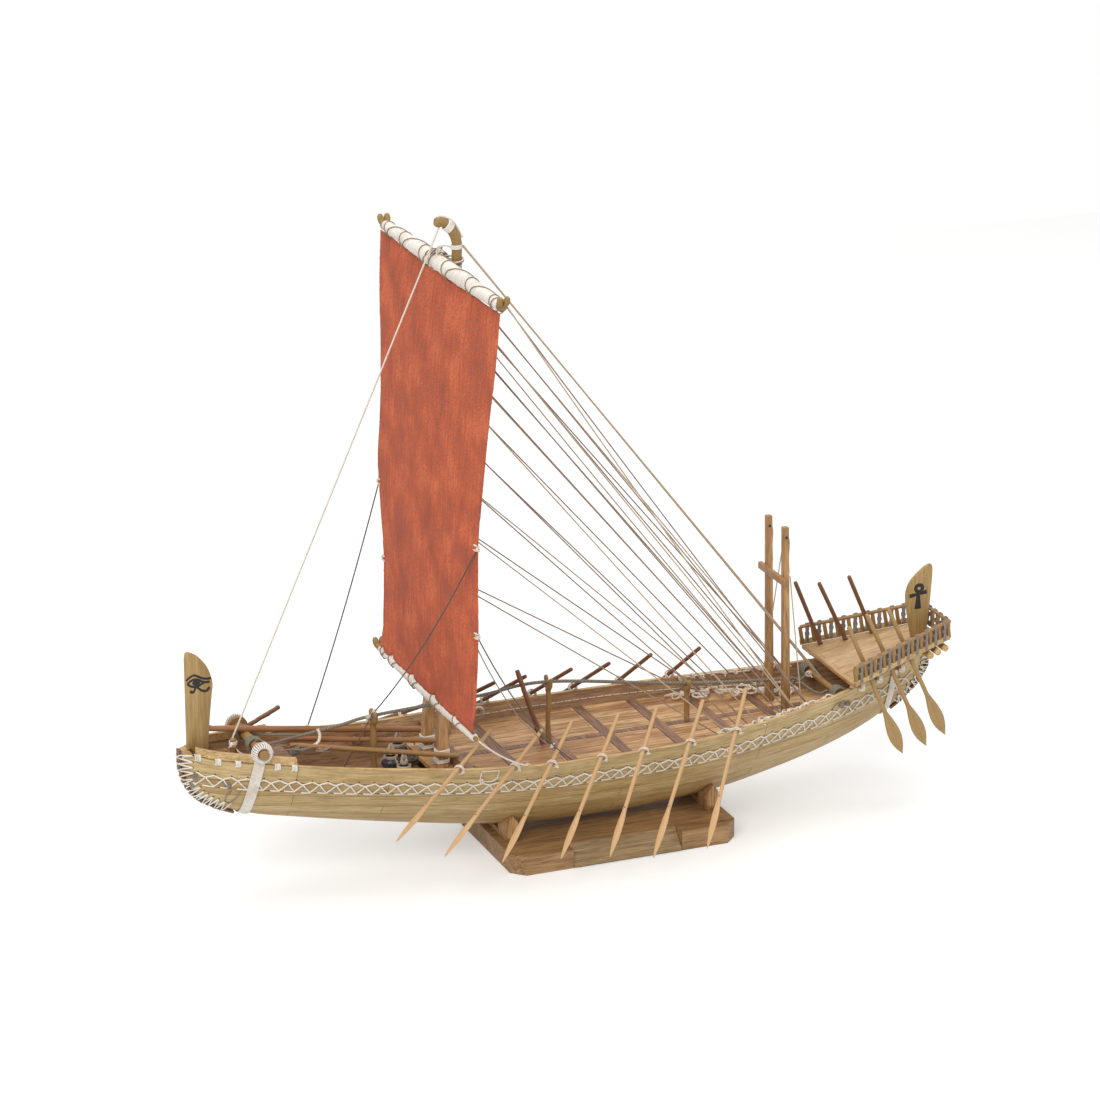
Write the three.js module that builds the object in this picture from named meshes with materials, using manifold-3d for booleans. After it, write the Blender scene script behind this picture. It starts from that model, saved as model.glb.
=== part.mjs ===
// A display model of an ancient Egyptian sea-going ship, under sail, on its stand.
// Millimetres. X points aft, Y to starboard and Z up; the origin is under the middle of the stand.
import * as THREE from "three";
import { mergeVertices } from "three/addons/utils/BufferGeometryUtils.js";
import Module from "manifold-3d";

const wasm = await Module();
wasm.setup();

// Driving sizes
const gap = 0.3; // between pieces that touch
const shortestEdge = 0.01;

const baseLength = 150;
const baseWidth = 98;
const baseHeight = 12.4;
const baseCorner = 8;
const plateLength = 72;
const plateThickness = 1.6;
const plateSetBack = 10.5;
const cradleLength = 9;
const cradleHalfWidth = 27;
const cradleHeight = 17.5;
const cradleFootWidth = 6;
const cradleInset = 8; // from the ends of the base
const cradleHornWidth = 13;
const cradleBarHeight = 4;

const bowX = -269;
const sternX = 225;
// Hull lines: share of the length from the bow, half beam, sheer height, keel height
const hullLines = [
  [0, 2.4, 95.5, 84],
  [0.0061, 6, 94.6, 73],
  [0.0202, 12, 93, 63.5],
  [0.0425, 17, 91, 56.5],
  [0.087, 24, 88.2, 48],
  [0.1397, 32, 85.3, 42],
  [0.2105, 38.5, 81, 34.5],
  [0.2814, 44, 77.4, 27.5],
  [0.3623, 52, 74.8, 20.5],
  [0.4433, 55.5, 73.4, 15.5],
  [0.5445, 56, 73, 14],
  [0.6255, 54.5, 73.3, 15],
  [0.7065, 49, 74.8, 18],
  [0.7874, 40, 77.5, 25.5],
  [0.8482, 32, 80.2, 33],
  [0.9089, 22.5, 84.5, 43.5],
  [0.9595, 13, 88, 57],
  [0.9858, 7, 90.5, 68],
  [1, 2.4, 92, 79],
].map(([share, ...rest]) => [bowX + share * (sternX - bowX), ...rest]);
const stationPitch = 15;
const sectionSteps = 7;
const hullWall = 2.1;
const endWall = 5.5;
const postThickness = 1.5;
const stemPostReach = 32;
const sternPostReach = 25;
const postWidth = 5;

const bowBoardThickness = 2.2;
const railPlankHeight = 5;
const railPlankThickness = 2.4;
const railPlankStart = bowX + 7;
const railPlankEnd = bowX + 63;

const deckTop = 64.4;
const deckThickness = 2.6;
const deckStart = -115;
const deckEnd = sternX - 84;
const deckTail = sternX - 33;
const beamWidth = 6.5;
const beamDepth = 1.5;
const beamPitch = 36;
const beamFirstX = -66;
const beamCount = 6;
const stripWidth = 5;
const thwartX = -99;
const thwartWidth = 4.5;
const thwartHeight = 7;
const holdFloorTop = 58;
const foredeckDrop = 4.2;
const foredeckStart = bowX + 10;
const foredeckEnd = bowX + 69;

const pinX = bowX + 43;
const pinZ = 95.7;
const pinRadius = 3;
const pinReach = 29.5;
const girdleRingRadius = 6.4;
const strapWidth = 6.3;
const strapThickness = 0.9;
const strapRake = 5;
const sternStrapX = sternX - 29.5;
const sternStrapWidth = 5;
const trussPinX = sternX - 71;
const trussPinZ = 77;
const trussPinRadius = 2;

const trussRadius = 1.25;
const forkPosts = [
  [-147, 96.5],
  [-33, 101.8],
  [60, 87.2],
];
const forkRadius = 1.5;
const forkSpread = 4.2;
const forkProng = 5.5;
const forkSeat = 2.4;
const stickRadius = 1.5;

const mastFootX = -108.3;
const mastTopX = -93;
const mastTopZ = 368;
const mastFootY = 13;
const mastTopY = 3.2;
const legFootSize = 6.4;
const legTopSize = 5;
const headRadius = 3.1;
const yardRise = 8; // of the yard's middle above the legs
const headRise = 34;
const headHook = 11.5;
const yardHalf = 97;
const yardRadius = 4.4;
const yardPad = 1.6; // lashing between the yard and the masthead
const yardTipRadius = 2.3;
const boomZ = 109.4;
const boomHalf = 82;
const boomRadius = 3.4;
const boomTipRadius = 2.2;
const sailHeadGap = 1.2; // below the yard
const sailThickness = 0.8;
const sailBelly = 6;
// Sail edges: height, port edge, starboard edge
const sailEdges = [
  [113.4, -81.5, 75],
  [170, -84, 76],
  [205, -80.5, 84],
  [232, -78.5, 90],
  [270, -83, 89.4],
  [305, -87.6, 93],
  [340, -92, 100.5],
  [376, -93.2, 104.5],
];

const gallowsFootX = sternX - 102.7;
const gallowsTopX = gallowsFootX - 2.7;
const gallowsTopZ = 188.5;
const gallowsY = 12.1;
const gallowsPost = 5.4;
const crossbarZ = 159;
const crossbarHalf = 18;

const platformFront = sternX - 68;
const platformBack = sternX + 5;
const platformFrontHalf = 38.2;
const platformBackHalf = 17.6;
const platformZ = 88;
const platformSlope = 0.18;
const platformThickness = 2.2;
const railHeight = 11.8;
const railRadius = 1.4;
const railPostSize = 1.8;
const railPostPitch = 8;
const bearerXs = [7, 21, 39].map((inset) => platformFront + inset);
const bearerSize = 4.2;
const roundBearerXs = [13, 7, 1].map((inset) => platformBack - inset);
const roundBearerRadius = 2.2;

const oarLength = 117;
const oarRadius = 1.3;
const oarBladeLength = 38;
const oarBladeWidth = 5;
const oarSwing = 5; // degrees each way
const starboardDip = 9; // how much steeper the starboard looms lie, degrees
// Rowing oars: place of the loom on the gunwale, sweep forward, dip outward, inboard length
const rowingOars = [
  [-110, 51, 15.4, 40],
  [-76.3, 54, 21.8, 33],
  [-53, 45.3, 25.9, 34],
  [-20.7, 42, 27.4, 34],
  [6.8, 39, 29.3, 33],
  [38.3, 41.5, 34.5, 30],
  [70.8, 38.2, 35.7, 30],
];
const steeringRadius = 1.4;
const steeringBladeLength = 25;
const steeringBladeWidth = 9.8;
const steeringClearance = 0.4;
// Steering oars: handle end and blade tip, aft of the platform's front, outboard and above the
// stand's underside; the starboard looms are longer and lean further forward by the last two
const steeringOars = [
  [0.5, 26.5, 122.6, 34, 39.5, 37.6, 16, 6.2],
  [15.4, 21.5, 127, 53.3, 34, 37.8, 10, 8.6],
  [31.8, 19, 127, 68, 31, 42, 13, 4.6],
];

const stayRadius = 0.45;
const spineRadius = 0.7;
const stayHeights = [181, 217, 246, 272, 298, 318, 336, 354, 366];
// Places of the stays along the deck edge, clear of the looms of the oars
const portBelays = [70, 75, 84, 90, 96, 114, 119, 124, 134];
const starboardBelays = [81, 88, 97, 100, 113, 121, 129, 136, 145];
const belayInboard = 8;
const belayDrop = 9;
// Yard braces: side, which belay of that side, sag
const yardBraces = [
  [-1, 7, 2.5],
  [-1, 8, 1],
  [1, 6, 2.5],
  [1, 8, 1],
];
const ropeRadius = 0.6;
const bittX = bowX + 33;
const bittRadius = 2.1;
const bittHeight = 10;
const poleRadius = 1.6;
const jarRadius = 6;
const jarHeight = 10.5;

// Helpers
const v = (x, y, z) => new THREE.Vector3(x, y, z);
const radians = THREE.MathUtils.degToRad;
const lerp = THREE.MathUtils.lerp;

function manifoldOf(position, index) {
  return new wasm.Manifold(
    new wasm.Mesh({ numProp: 3, vertProperties: position, triVerts: index }),
  );
}

// A closed geometry as a solid whose faces point out
function solid(geometry) {
  const bare = geometry.clone();
  bare.deleteAttribute("normal");
  bare.deleteAttribute("uv");
  const merged = mergeVertices(bare, 1e-4);
  const corners = merged.index.array;
  const index = [];
  for (let i = 0; i < corners.length; i += 3) {
    const [a, b, c] = [corners[i], corners[i + 1], corners[i + 2]];
    if (a !== b && b !== c && c !== a) index.push(a, b, c);
  }
  const position = new Float32Array(merged.attributes.position.array);
  const made = manifoldOf(position, new Uint32Array(index));
  return made.volume() < 0 ? manifoldOf(position, new Uint32Array(index.reverse())) : made;
}

function geometryOf(made) {
  const { vertProperties, triVerts } = made.simplify(shortestEdge).getMesh();
  const geometry = new THREE.BufferGeometry();
  geometry.setAttribute("position", new THREE.BufferAttribute(vertProperties, 3));
  geometry.setIndex(new THREE.BufferAttribute(triVerts, 1));
  const faceted = geometry.toNonIndexed();
  faceted.computeVertexNormals();
  return faceted;
}

const join = (...pieces) => pieces.flat().reduce((sum, piece) => sum.add(piece));

// A solid through rings of points, each ring with as many points, its two ends capped
function loft(rings) {
  const position = [];
  const face = (...corners) => corners.forEach((p) => position.push(p.x, p.y, p.z));
  const count = rings[0].length;
  const next = (i) => (i + 1) % count;
  for (let k = 1; k < rings.length; k++) {
    for (let i = 0; i < count; i++) {
      face(rings[k - 1][i], rings[k - 1][next(i)], rings[k][next(i)]);
      face(rings[k - 1][i], rings[k][next(i)], rings[k][i]);
    }
  }
  const [first, last] = [rings[0], rings[rings.length - 1]];
  const centre = (ring) => ring.reduce((sum, p) => sum.add(p), v(0, 0, 0)).divideScalar(count);
  for (let i = 0; i < count; i++) {
    face(centre(first), first[next(i)], first[i]);
    face(centre(last), last[i], last[next(i)]);
  }
  const geometry = new THREE.BufferGeometry();
  geometry.setAttribute("position", new THREE.Float32BufferAttribute(position, 3));
  return solid(geometry);
}

function rod(from, to, radius, endRadius = radius, sides = 8) {
  const along = to.clone().sub(from);
  const geometry = new THREE.CylinderGeometry(endRadius, radius, along.length(), sides);
  const turn = new THREE.Quaternion().setFromUnitVectors(v(0, 1, 0), along.clone().normalize());
  geometry.applyQuaternion(turn);
  const middle = from.clone().add(to).divideScalar(2);
  return solid(geometry.translate(middle.x, middle.y, middle.z));
}

function block(x0, x1, y0, y1, z0, z1) {
  const geometry = new THREE.BoxGeometry(x1 - x0, y1 - y0, z1 - z0);
  return solid(geometry.translate((x0 + x1) / 2, (y0 + y1) / 2, (z0 + z1) / 2));
}

function extrude(points, depth, basis, place) {
  const shape = new THREE.Shape(points.map(([a, b]) => new THREE.Vector2(a, b)));
  const geometry = new THREE.ExtrudeGeometry(shape, { depth, bevelEnabled: false });
  geometry.applyMatrix4(basis);
  return solid(geometry.translate(...place));
}

// Outlines drawn in X and Z, in X and Y, and in Y and Z
function sideways(points, y0, y1) {
  const basis = new THREE.Matrix4().makeBasis(v(1, 0, 0), v(0, 0, 1), v(0, -1, 0));
  return extrude(points, y1 - y0, basis, [0, y1, 0]);
}

function upwards(points, z0, z1) {
  return extrude(points, z1 - z0, new THREE.Matrix4(), [0, 0, z0]);
}

function lengthways(points, x0, x1) {
  const basis = new THREE.Matrix4().makeBasis(v(0, 1, 0), v(0, 0, 1), v(1, 0, 0));
  return extrude(points, x1 - x0, basis, [x0, 0, 0]);
}

// A tube along straight runs or a smooth curve through points
function tube(points, radius, steps, sides = 8) {
  const curve = new THREE.CatmullRomCurve3(points, false, "centripetal");
  const section = Array.from({ length: sides }, (_, i) => {
    const turn = (2 * Math.PI * i) / sides;
    return new THREE.Vector2(radius * Math.cos(turn), radius * Math.sin(turn));
  });
  const options = { steps, extrudePath: curve, bevelEnabled: false };
  return solid(new THREE.ExtrudeGeometry(new THREE.Shape(section), options));
}

// A taut line, a little thicker where it is made fast at its first end
function line(from, to, radius) {
  const along = to.clone().sub(from);
  const length = along.length();
  along.divideScalar(length);
  const flat = v(0, 1, 0).addScaledVector(along, -along.y).normalize();
  const thick = 2.6 * radius;
  const rings = [[0, thick, thick], [4, 2 * radius, 2 * radius], [length, 2 * radius, 2 * radius]];
  return loftAlong(from, along, flat, rings);
}

// Rings of [distance, width, thickness] along a line
function loftAlong(from, along, flat, rings) {
  const thin = along.clone().cross(flat);
  const sides = 8;
  return loft(
    rings.map(([distance, width, thickness]) =>
      Array.from({ length: sides }, (_, i) => {
        const turn = (2 * Math.PI * (i + 0.5)) / sides;
        return from
          .clone()
          .addScaledVector(along, distance)
          .addScaledVector(flat, (width / 2) * Math.cos(turn))
          .addScaledVector(thin, (thickness / 2) * Math.sin(turn));
      }),
    ),
  );
}

// A ring round an axis that lies along Y
function ringAcross(x, y, z, radius, thickness) {
  const geometry = new THREE.TorusGeometry(radius, thickness, 8, 16);
  return solid(geometry.rotateX(Math.PI / 2).translate(x, y, z));
}

// Hull
function linesAt(x) {
  const last = hullLines.length - 1;
  const after = hullLines.findIndex(([station]) => station >= x);
  const k = after < 0 ? last : Math.max(after, 1);
  const [p, q] = [hullLines[k - 1], hullLines[k]];
  const before = hullLines[Math.max(k - 2, 0)];
  const beyond = hullLines[Math.min(k + 1, last)];
  const run = q[0] - p[0];
  const t = THREE.MathUtils.clamp((x - p[0]) / run, 0, 1);
  const steep = (a, b, column) => ((b[column] - a[column]) / (b[0] - a[0])) * run;
  return [1, 2, 3].map((column) => {
    const [m0, m1] = [steep(before, q, column), steep(p, beyond, column)];
    const [t2, t3] = [t * t, t * t * t];
    return (
      (2 * t3 - 3 * t2 + 1) * p[column] +
      (t3 - 2 * t2 + t) * m0 +
      (3 * t2 - 2 * t3) * q[column] +
      (t3 - t2) * m1
    );
  });
}

const beamAt = (x) => linesAt(x)[0];
const sheerAt = (x) => linesAt(x)[1];

// One cross-section, drawn in by inset and carried straight up by rise above the sheer
function section(x, inset, rise) {
  const [beam, sheer, keel] = linesAt(x);
  const half = Math.max(beam - 1.15 * inset, 0.6);
  const bottom = keel + 1.2 * inset;
  const points = [];
  for (let i = -sectionSteps; i <= sectionSteps; i++) {
    const u = Math.abs(i) / sectionSteps;
    points.push(v(x, Math.sign(i) * half * u ** 1.1, bottom + (sheer - bottom) * u * u));
  }
  if (rise > 0) {
    points.unshift(v(x, -half, sheer + rise));
    points.push(v(x, half, sheer + rise));
  }
  return points;
}

function hullSolid(inset, rise = 0) {
  const shortening = inset > 0 ? endWall - hullWall + inset : inset;
  const start = hullLines[0][0] + shortening;
  const end = hullLines[hullLines.length - 1][0] - shortening;
  const middle = hullLines.map(([x]) => x).filter((x) => x > start + 2 && x < end - 2);
  const stations = [start, ...middle, end];
  const rings = [];
  stations.forEach((x, k) => {
    const back = k ? stations[k - 1] : x;
    const parts = Math.max(1, Math.round((x - back) / stationPitch));
    for (let i = 1; i <= parts; i++) rings.push(section(lerp(back, x, i / parts), inset, rise));
  });
  return loft(rings);
}

const clearOfHull = hullSolid(-gap, 16);
const insideHull = hullSolid(hullWall + gap, 6);

const hull = () => hullSolid(0).subtract(hullSolid(hullWall, 6));

// A band that follows an outline in X and Z, from near to far outside it
function ribbon(outline, near, far, width, sign) {
  const offset = (distance) =>
    outline.map(([x, z], i) => {
      const [ax, az] = outline[Math.max(i - 1, 0)];
      const [bx, bz] = outline[Math.min(i + 1, outline.length - 1)];
      const length = Math.hypot(bx - ax, bz - az);
      return [x + (sign * distance * (bz - az)) / length, z - (sign * distance * (bx - ax)) / length];
    });
  return sideways([...offset(near), ...offset(far).reverse()], -width / 2, width / 2);
}

function endPost(lines, reach, sign) {
  const top = lines[0];
  const outline = [[top[0], top[2]], ...lines.map(([x, , , keel]) => [x, keel])];
  const end = top[0] + sign * reach;
  outline.push([end, linesAt(end)[2]]);
  return ribbon(outline, gap, gap + postThickness, postWidth, sign).subtract(clearOfHull);
}

const stemPost = () => endPost(hullLines.slice(0, 4), stemPostReach, 1);
const sternPost = () => endPost(hullLines.slice(-3).reverse(), sternPostReach, -1);

function railPlank(side) {
  const rings = [];
  const steps = 8;
  for (let i = 0; i <= steps; i++) {
    const x = lerp(railPlankStart, railPlankEnd, i / steps);
    const [beam, sheer] = linesAt(x);
    const outer = side * (beam - gap);
    const inner = side * (beam - gap - railPlankThickness);
    const [low, high] = [sheer + gap, sheer + gap + railPlankHeight];
    rings.push([v(x, outer, low), v(x, outer, high), v(x, inner, high), v(x, inner, low)]);
  }
  return loft(rings).subtract(bowPinRod(gap));
}

const bowPinRod = (extra) =>
  rod(v(pinX, -pinReach, pinZ), v(pinX, pinReach, pinZ), pinRadius + extra, undefined, 12);

function bowBoard() {
  const stemHead = sheerAt(bowX + 4) + gap;
  const foot = (inset) => [bowX + inset, foredeckTop(bowX + inset) + gap];
  // The curved edge: distance from the stem, height above its head
  const curve = [
    [18.5, 15.2], [20.2, 32.2], [21, 39.7], [19.8, 45.7], [17, 52.2], [12, 58.2], [6.6, 61.4],
    [4.4, 60.6], [4, 57.2],
  ];
  const outline = [
    [bowX + 4, stemHead], [bowX + 6.4, stemHead], foot(11), foot(17),
    ...curve.map(([inset, rise]) => [bowX + inset, stemHead + rise]),
  ];
  return sideways(outline, -bowBoardThickness / 2, bowBoardThickness / 2);
}

function sternBoard() {
  const foot = (inset) => [sternX + inset, platformTop(sternX + inset) + gap];
  // The curved edge: distance from the stern, height above the platform's front
  const curve = [
    [2.4, 36], [3.3, 52], [3, 56.8], [1.5, 58.2], [-2.4, 56.6], [-7.5, 52.6], [-11.8, 48.2],
    [-14.1, 43.2], [-14.8, 38], [-13.4, 26.5],
  ];
  const outline = [
    foot(-10.4), foot(0.2), ...curve.map(([inset, rise]) => [sternX + inset, platformZ + rise]),
  ];
  return sideways(outline, -bowBoardThickness / 2, bowBoardThickness / 2);
}

// Decks
const wide = 70;
const deckSlab = (x0, x1, z0, z1) => block(x0, x1, -wide, wide, z0, z1);

function beamGrid(extra) {
  const [z0, z1] = [deckTop - beamDepth - extra, deckTop + 0.2];
  const half = beamWidth / 2 + extra;
  const crossBeams = Array.from({ length: beamCount }, (_, i) => {
    const x = beamFirstX + i * beamPitch;
    return deckSlab(x - half, x + half, z0, z1);
  });
  const stripHalf = stripWidth / 2 + extra;
  const strip = block(thwartX - thwartWidth / 2, deckEnd - 2, -stripHalf, stripHalf, z0, z1);
  return join(crossBeams, strip);
}

function mainDeck() {
  const slab = deckSlab(deckStart, deckTail, deckTop - deckThickness, deckTop);
  return slab.intersect(insideHull).subtract(beamGrid(gap));
}

function deckBeams() {
  const low = deckTop + gap;
  const [x0, x1] = [thwartX - thwartWidth / 2, thwartX + thwartWidth / 2];
  const thwart = deckSlab(x0, x1, low, low + thwartHeight);
  const foot = block(x0, x1, -stripWidth / 2, stripWidth / 2, deckTop, low + 1);
  return join(beamGrid(0), foot, thwart).intersect(insideHull);
}

const foredeckTop = (x) => {
  const share = (x - foredeckStart) / (foredeckEnd - foredeckStart);
  return lerp(sheerAt(foredeckStart), sheerAt(foredeckEnd), share) - foredeckDrop;
};

// The floor of the fore hold and the foredeck, joined by the bulkhead between them
function foredeck() {
  const [x0, x1] = [foredeckStart, foredeckEnd];
  const [z0, z1] = [foredeckTop(x0), foredeckTop(x1)];
  const thickness = 2;
  const planks = [[x0, z0], [x1, z1], [x1, z1 - thickness], [x0, z0 - thickness]];
  const floor = deckSlab(x1 - thickness, deckStart - gap, holdFloorTop - thickness, holdFloorTop);
  const bulkhead = deckSlab(x1 - thickness, x1, holdFloorTop - thickness, z1);
  return join(sideways(planks, -wide, wide), floor, bulkhead).intersect(insideHull);
}

// Stand
function plateWedge(extra) {
  const front = -baseWidth / 2;
  const half = plateLength / 2 + extra;
  const outline = [
    [front - 1, 1], [front + 1, 1], [front + plateSetBack + 1, baseHeight],
    [front + plateSetBack + 1, baseHeight + 1], [front - 1, baseHeight + 1],
  ];
  return lengthways(outline, -half, half);
}

function standBase() {
  const [a, b, c] = [baseLength / 2, baseWidth / 2, baseCorner];
  const outline = [
    [a, b - c], [a - c, b], [c - a, b], [-a, b - c], [-a, c - b], [c - a, -b], [a - c, -b], [a, c - b],
  ];
  return upwards(outline, 0, baseHeight).subtract(plateWedge(0));
}

function namePlate() {
  const front = -baseWidth / 2;
  const lift = plateThickness + gap;
  const outline = [
    [front + 1 - gap, 1 + gap], [front + plateSetBack + 1 - gap, baseHeight],
    [front + plateSetBack + 1 - gap - lift, baseHeight], [front + 1 - gap - lift, 1 + gap],
  ];
  return lengthways(outline, gap - plateLength / 2, plateLength / 2 - gap);
}

// Two pointed horns on one low bar
function cradle(x) {
  const [low, high] = [baseHeight + gap, baseHeight + gap + cradleHeight];
  const [outer, inner] = [cradleHalfWidth, cradleHalfWidth - cradleHornWidth];
  const bar = low + cradleBarHeight;
  const outline = [
    [-outer + 2, low], [outer - 2, low], [outer, bar], [outer - 1, high], [inner, high],
    [inner - 2, bar], [2 - inner, bar], [-inner, high], [1 - outer, high], [-outer, bar],
  ];
  const [half, foot] = [cradleLength / 2, cradleFootWidth / 2];
  const oval = [
    [x - foot, low], [x + foot, low], [x + half, low + 0.45 * cradleHeight],
    [x + 0.7 * half, low + 0.78 * cradleHeight], [x, high], [x - 0.7 * half, low + 0.78 * cradleHeight],
    [x - half, low + 0.45 * cradleHeight],
  ];
  return lengthways(outline, x - half, x + half)
    .intersect(sideways(oval, -wide, wide))
    .subtract(clearOfHull);
}

// Girdles and truss
function girdle(outline) {
  return sideways(outline, -wide, wide).intersect(hullSolid(-gap - strapThickness, 9));
}

function bowGirdle() {
  const half = strapWidth / 2;
  const strap = girdle([
    [pinX - half, pinZ], [pinX + half, pinZ], [pinX + half - strapRake, 40], [pinX - half - strapRake, 40],
  ]);
  const rings = [-1, 1].map((side) => {
    const [near, far] = [side * (beamAt(pinX) - 3), side * (pinReach - 1.2)];
    return rod(v(pinX, near, pinZ), v(pinX, far, pinZ), girdleRingRadius, undefined, 16);
  });
  return join(strap, rings).subtract(clearOfHull).subtract(bowPinRod(gap));
}

function sternGirdle() {
  const half = sternStrapWidth / 2;
  const top = sheerAt(sternStrapX) - 1;
  const [x0, x1] = [sternStrapX - half, sternStrapX + half];
  return girdle([[x0, top], [x1, top], [x1, 40], [x0, 40]]).subtract(clearOfHull);
}

const trussPin = () =>
  rod(v(trussPinX, -wide, trussPinZ), v(trussPinX, wide, trussPinZ), trussPinRadius, undefined, 10)
    .intersect(insideHull);

function trussRope() {
  const bowEnd = v(pinX + 36, 0, 88.5);
  const sternEnd = v(trussPinX - 20, 0, 82);
  const overPosts = forkPosts.map(([x, z]) => v(x, 0, z + forkSeat));
  const route = [bowEnd, overPosts[0], v(-79, 0, 101.6), overPosts[1], overPosts[2], sternEnd];
  const bowLoop = pinRadius + gap + 1.2;
  const sternLoop = trussPinRadius + gap + 1.2;
  const legs = [-1, 1].flatMap((side) => [
    rod(bowEnd, v(pinX + bowLoop, 10 * side, pinZ), trussRadius),
    rod(sternEnd, v(trussPinX - sternLoop, 15 * side, trussPinZ), trussRadius),
    ringAcross(pinX, 10 * side, pinZ, bowLoop, 1.15),
    ringAcross(trussPinX, 15 * side, trussPinZ, sternLoop, 1.15),
  ]);
  const knots = [bowEnd, sternEnd].map((p) =>
    solid(new THREE.SphereGeometry(2 * trussRadius, 8, 6).translate(p.x, p.y, p.z)),
  );
  return join(tube(route, trussRadius, 40), knots, legs);
}

function forkPost(x, crotchZ, footZ) {
  const crotch = v(x, 0, crotchZ - 2.6);
  const prongs = [-1, 1].map((side) =>
    rod(crotch, v(x, side * forkSpread, crotchZ + forkProng), forkRadius * 0.8, 0.8, 6),
  );
  return join(rod(v(x, 0, footZ), crotch, forkRadius), prongs);
}

const tensionStick = () => rod(v(-55, -3.4, 116), v(-38.5, -4.6, deckTop + 1), stickRadius);

// Mast, spars and sail
const legShare = (z) => (z - deckTop) / (mastTopZ - deckTop);
const legX = (z) => lerp(mastFootX, mastTopX, legShare(z));
const legY = (z) => lerp(mastFootY, mastTopY, legShare(z));
const legSize = (z) => lerp(legFootSize, legTopSize, legShare(z));

function mastLeg(side) {
  const rings = [deckTop + gap, mastTopZ].map((z) => {
    const [x, y, half] = [legX(z), side * legY(z), legSize(z) / 2];
    return [
      v(x - half, y - half, z), v(x + half, y - half, z), v(x + half, y + half, z), v(x - half, y + half, z),
    ];
  });
  return loft(rings);
}

// The hook's line: distance aft of the legs' top, height above it
const headLine = [
  [1.9, gap], [1.9, 10], [2, 21], [-1.5, headRise - 5], [6 - headHook, headRise - 1],
  [-headHook, headRise],
];

const headFront = mastTopX + headLine[0][0] - headRadius;
const yardX = headFront - yardPad - gap - yardRadius;
const yardZ = mastTopZ + yardRise;

// The carved head, with the lashing that the yard bears against
function masthead() {
  const hook = tube(headLine.map(([x, z]) => v(mastTopX + x, 0, mastTopZ + z)), headRadius, 12, 10);
  const pad = rod(v(headFront + 1, 0, yardZ), v(headFront - yardPad, 0, yardZ), 2.4);
  return join(hook, pad);
}

const boomX = legX(boomZ) - legSize(boomZ) / 2 - gap - boomRadius - 0.1;

function spar(x, z, half, radius, tipRadius, tips) {
  const reach = [-half, -half * 0.75, half * 0.75, half];
  const radii = [tipRadius, radius, radius, tipRadius];
  const runs = [0, 1, 2].map((i) =>
    rod(v(x, reach[i], z), v(x, reach[i + 1], z), radii[i], radii[i + 1], 12),
  );
  const forks = tips.flatMap((side) =>
    [-1, 1].map((lean) => {
      const from = v(x, side * (half - 1), z);
      const to = v(x + 2.2 * lean, side * (half + 6), z + 2.4 + 0.8 * lean);
      return rod(from, to, tipRadius, tipRadius * 0.85, 8);
    }),
  );
  return join(runs, forks);
}

function sail() {
  const edgeAt = (z) => {
    const k = Math.max(1, sailEdges.findIndex(([height]) => height >= z - 1e-6));
    const [p, q] = [sailEdges[k - 1], sailEdges[k]];
    const t = (z - p[0]) / (q[0] - p[0]);
    return [lerp(p[1], q[1], t), lerp(p[2], q[2], t)];
  };
  const bottom = boomZ + boomRadius + 0.6;
  const sailTop = yardZ - yardRadius - sailHeadGap;
  const [rows, columns] = [14, 12];
  const rings = [];
  for (let i = 0; i <= rows; i++) {
    const t = i / rows;
    const z = lerp(bottom, sailTop, t);
    const [port, starboard] = edgeAt(Math.max(z, sailEdges[0][0]));
    const plane = lerp(boomX, yardX, t);
    const ring = [];
    for (let j = 0; j <= columns; j++) {
      const s = j / columns;
      const belly = sailBelly * Math.sin(Math.PI * t) ** 0.8 * (0.35 + 0.65 * Math.sin(Math.PI * s));
      ring.push(v(plane - belly - sailThickness / 2, lerp(port, starboard, s), z));
    }
    ring.push(...ring.map((p) => v(p.x + sailThickness, p.y, p.z)).reverse());
    rings.push(ring);
  }
  return loft(rings);
}

function aftGallows() {
  const half = gallowsPost / 2;
  const xAt = (z) => lerp(gallowsFootX, gallowsTopX, (z - deckTop) / (gallowsTopZ - deckTop));
  const posts = [-1, 1].map((side) => {
    const y = side * gallowsY;
    const rings = [deckTop + 0.2 + gap, gallowsTopZ].map((z) => [
      v(xAt(z) - half, y - half, z), v(xAt(z) + half, y - half, z),
      v(xAt(z) + half, y + half, z), v(xAt(z) - half, y + half, z),
    ]);
    return loft(rings);
  });
  const front = xAt(crossbarZ) - half;
  const bar = block(front - 2.2, front + 0.6, -crossbarHalf, crossbarHalf, crossbarZ - 2.2, crossbarZ + 2.2);
  return join(posts, bar);
}

// Stern platform
const platformTop = (x) => platformZ + platformSlope * (x - platformFront);
const platformHalf = (x) =>
  lerp(platformFrontHalf, platformBackHalf, (x - platformFront) / (platformBack - platformFront));

function platformDeck() {
  const [a, b] = [platformFront, platformBack];
  const outline = [
    [a, -platformHalf(a)], [b, -platformHalf(b)], [b, platformHalf(b)], [a, platformHalf(a)],
  ];
  const side = [
    [a, platformTop(a)], [b, platformTop(b)],
    [b, platformTop(b) - platformThickness], [a, platformTop(a) - platformThickness],
  ];
  const slab = upwards(outline, 0, 2 * platformZ).intersect(sideways(side, -wide, wide));
  const holes = steeringOars.flatMap((oar) =>
    [-1, 1].map((side) => {
      const { top, tip } = steeringLine(oar, side);
      return rod(top, tip, steeringRadius + steeringClearance);
    }),
  );
  return holes.reduce((sum, hole) => sum.subtract(hole), slab);
}

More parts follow.
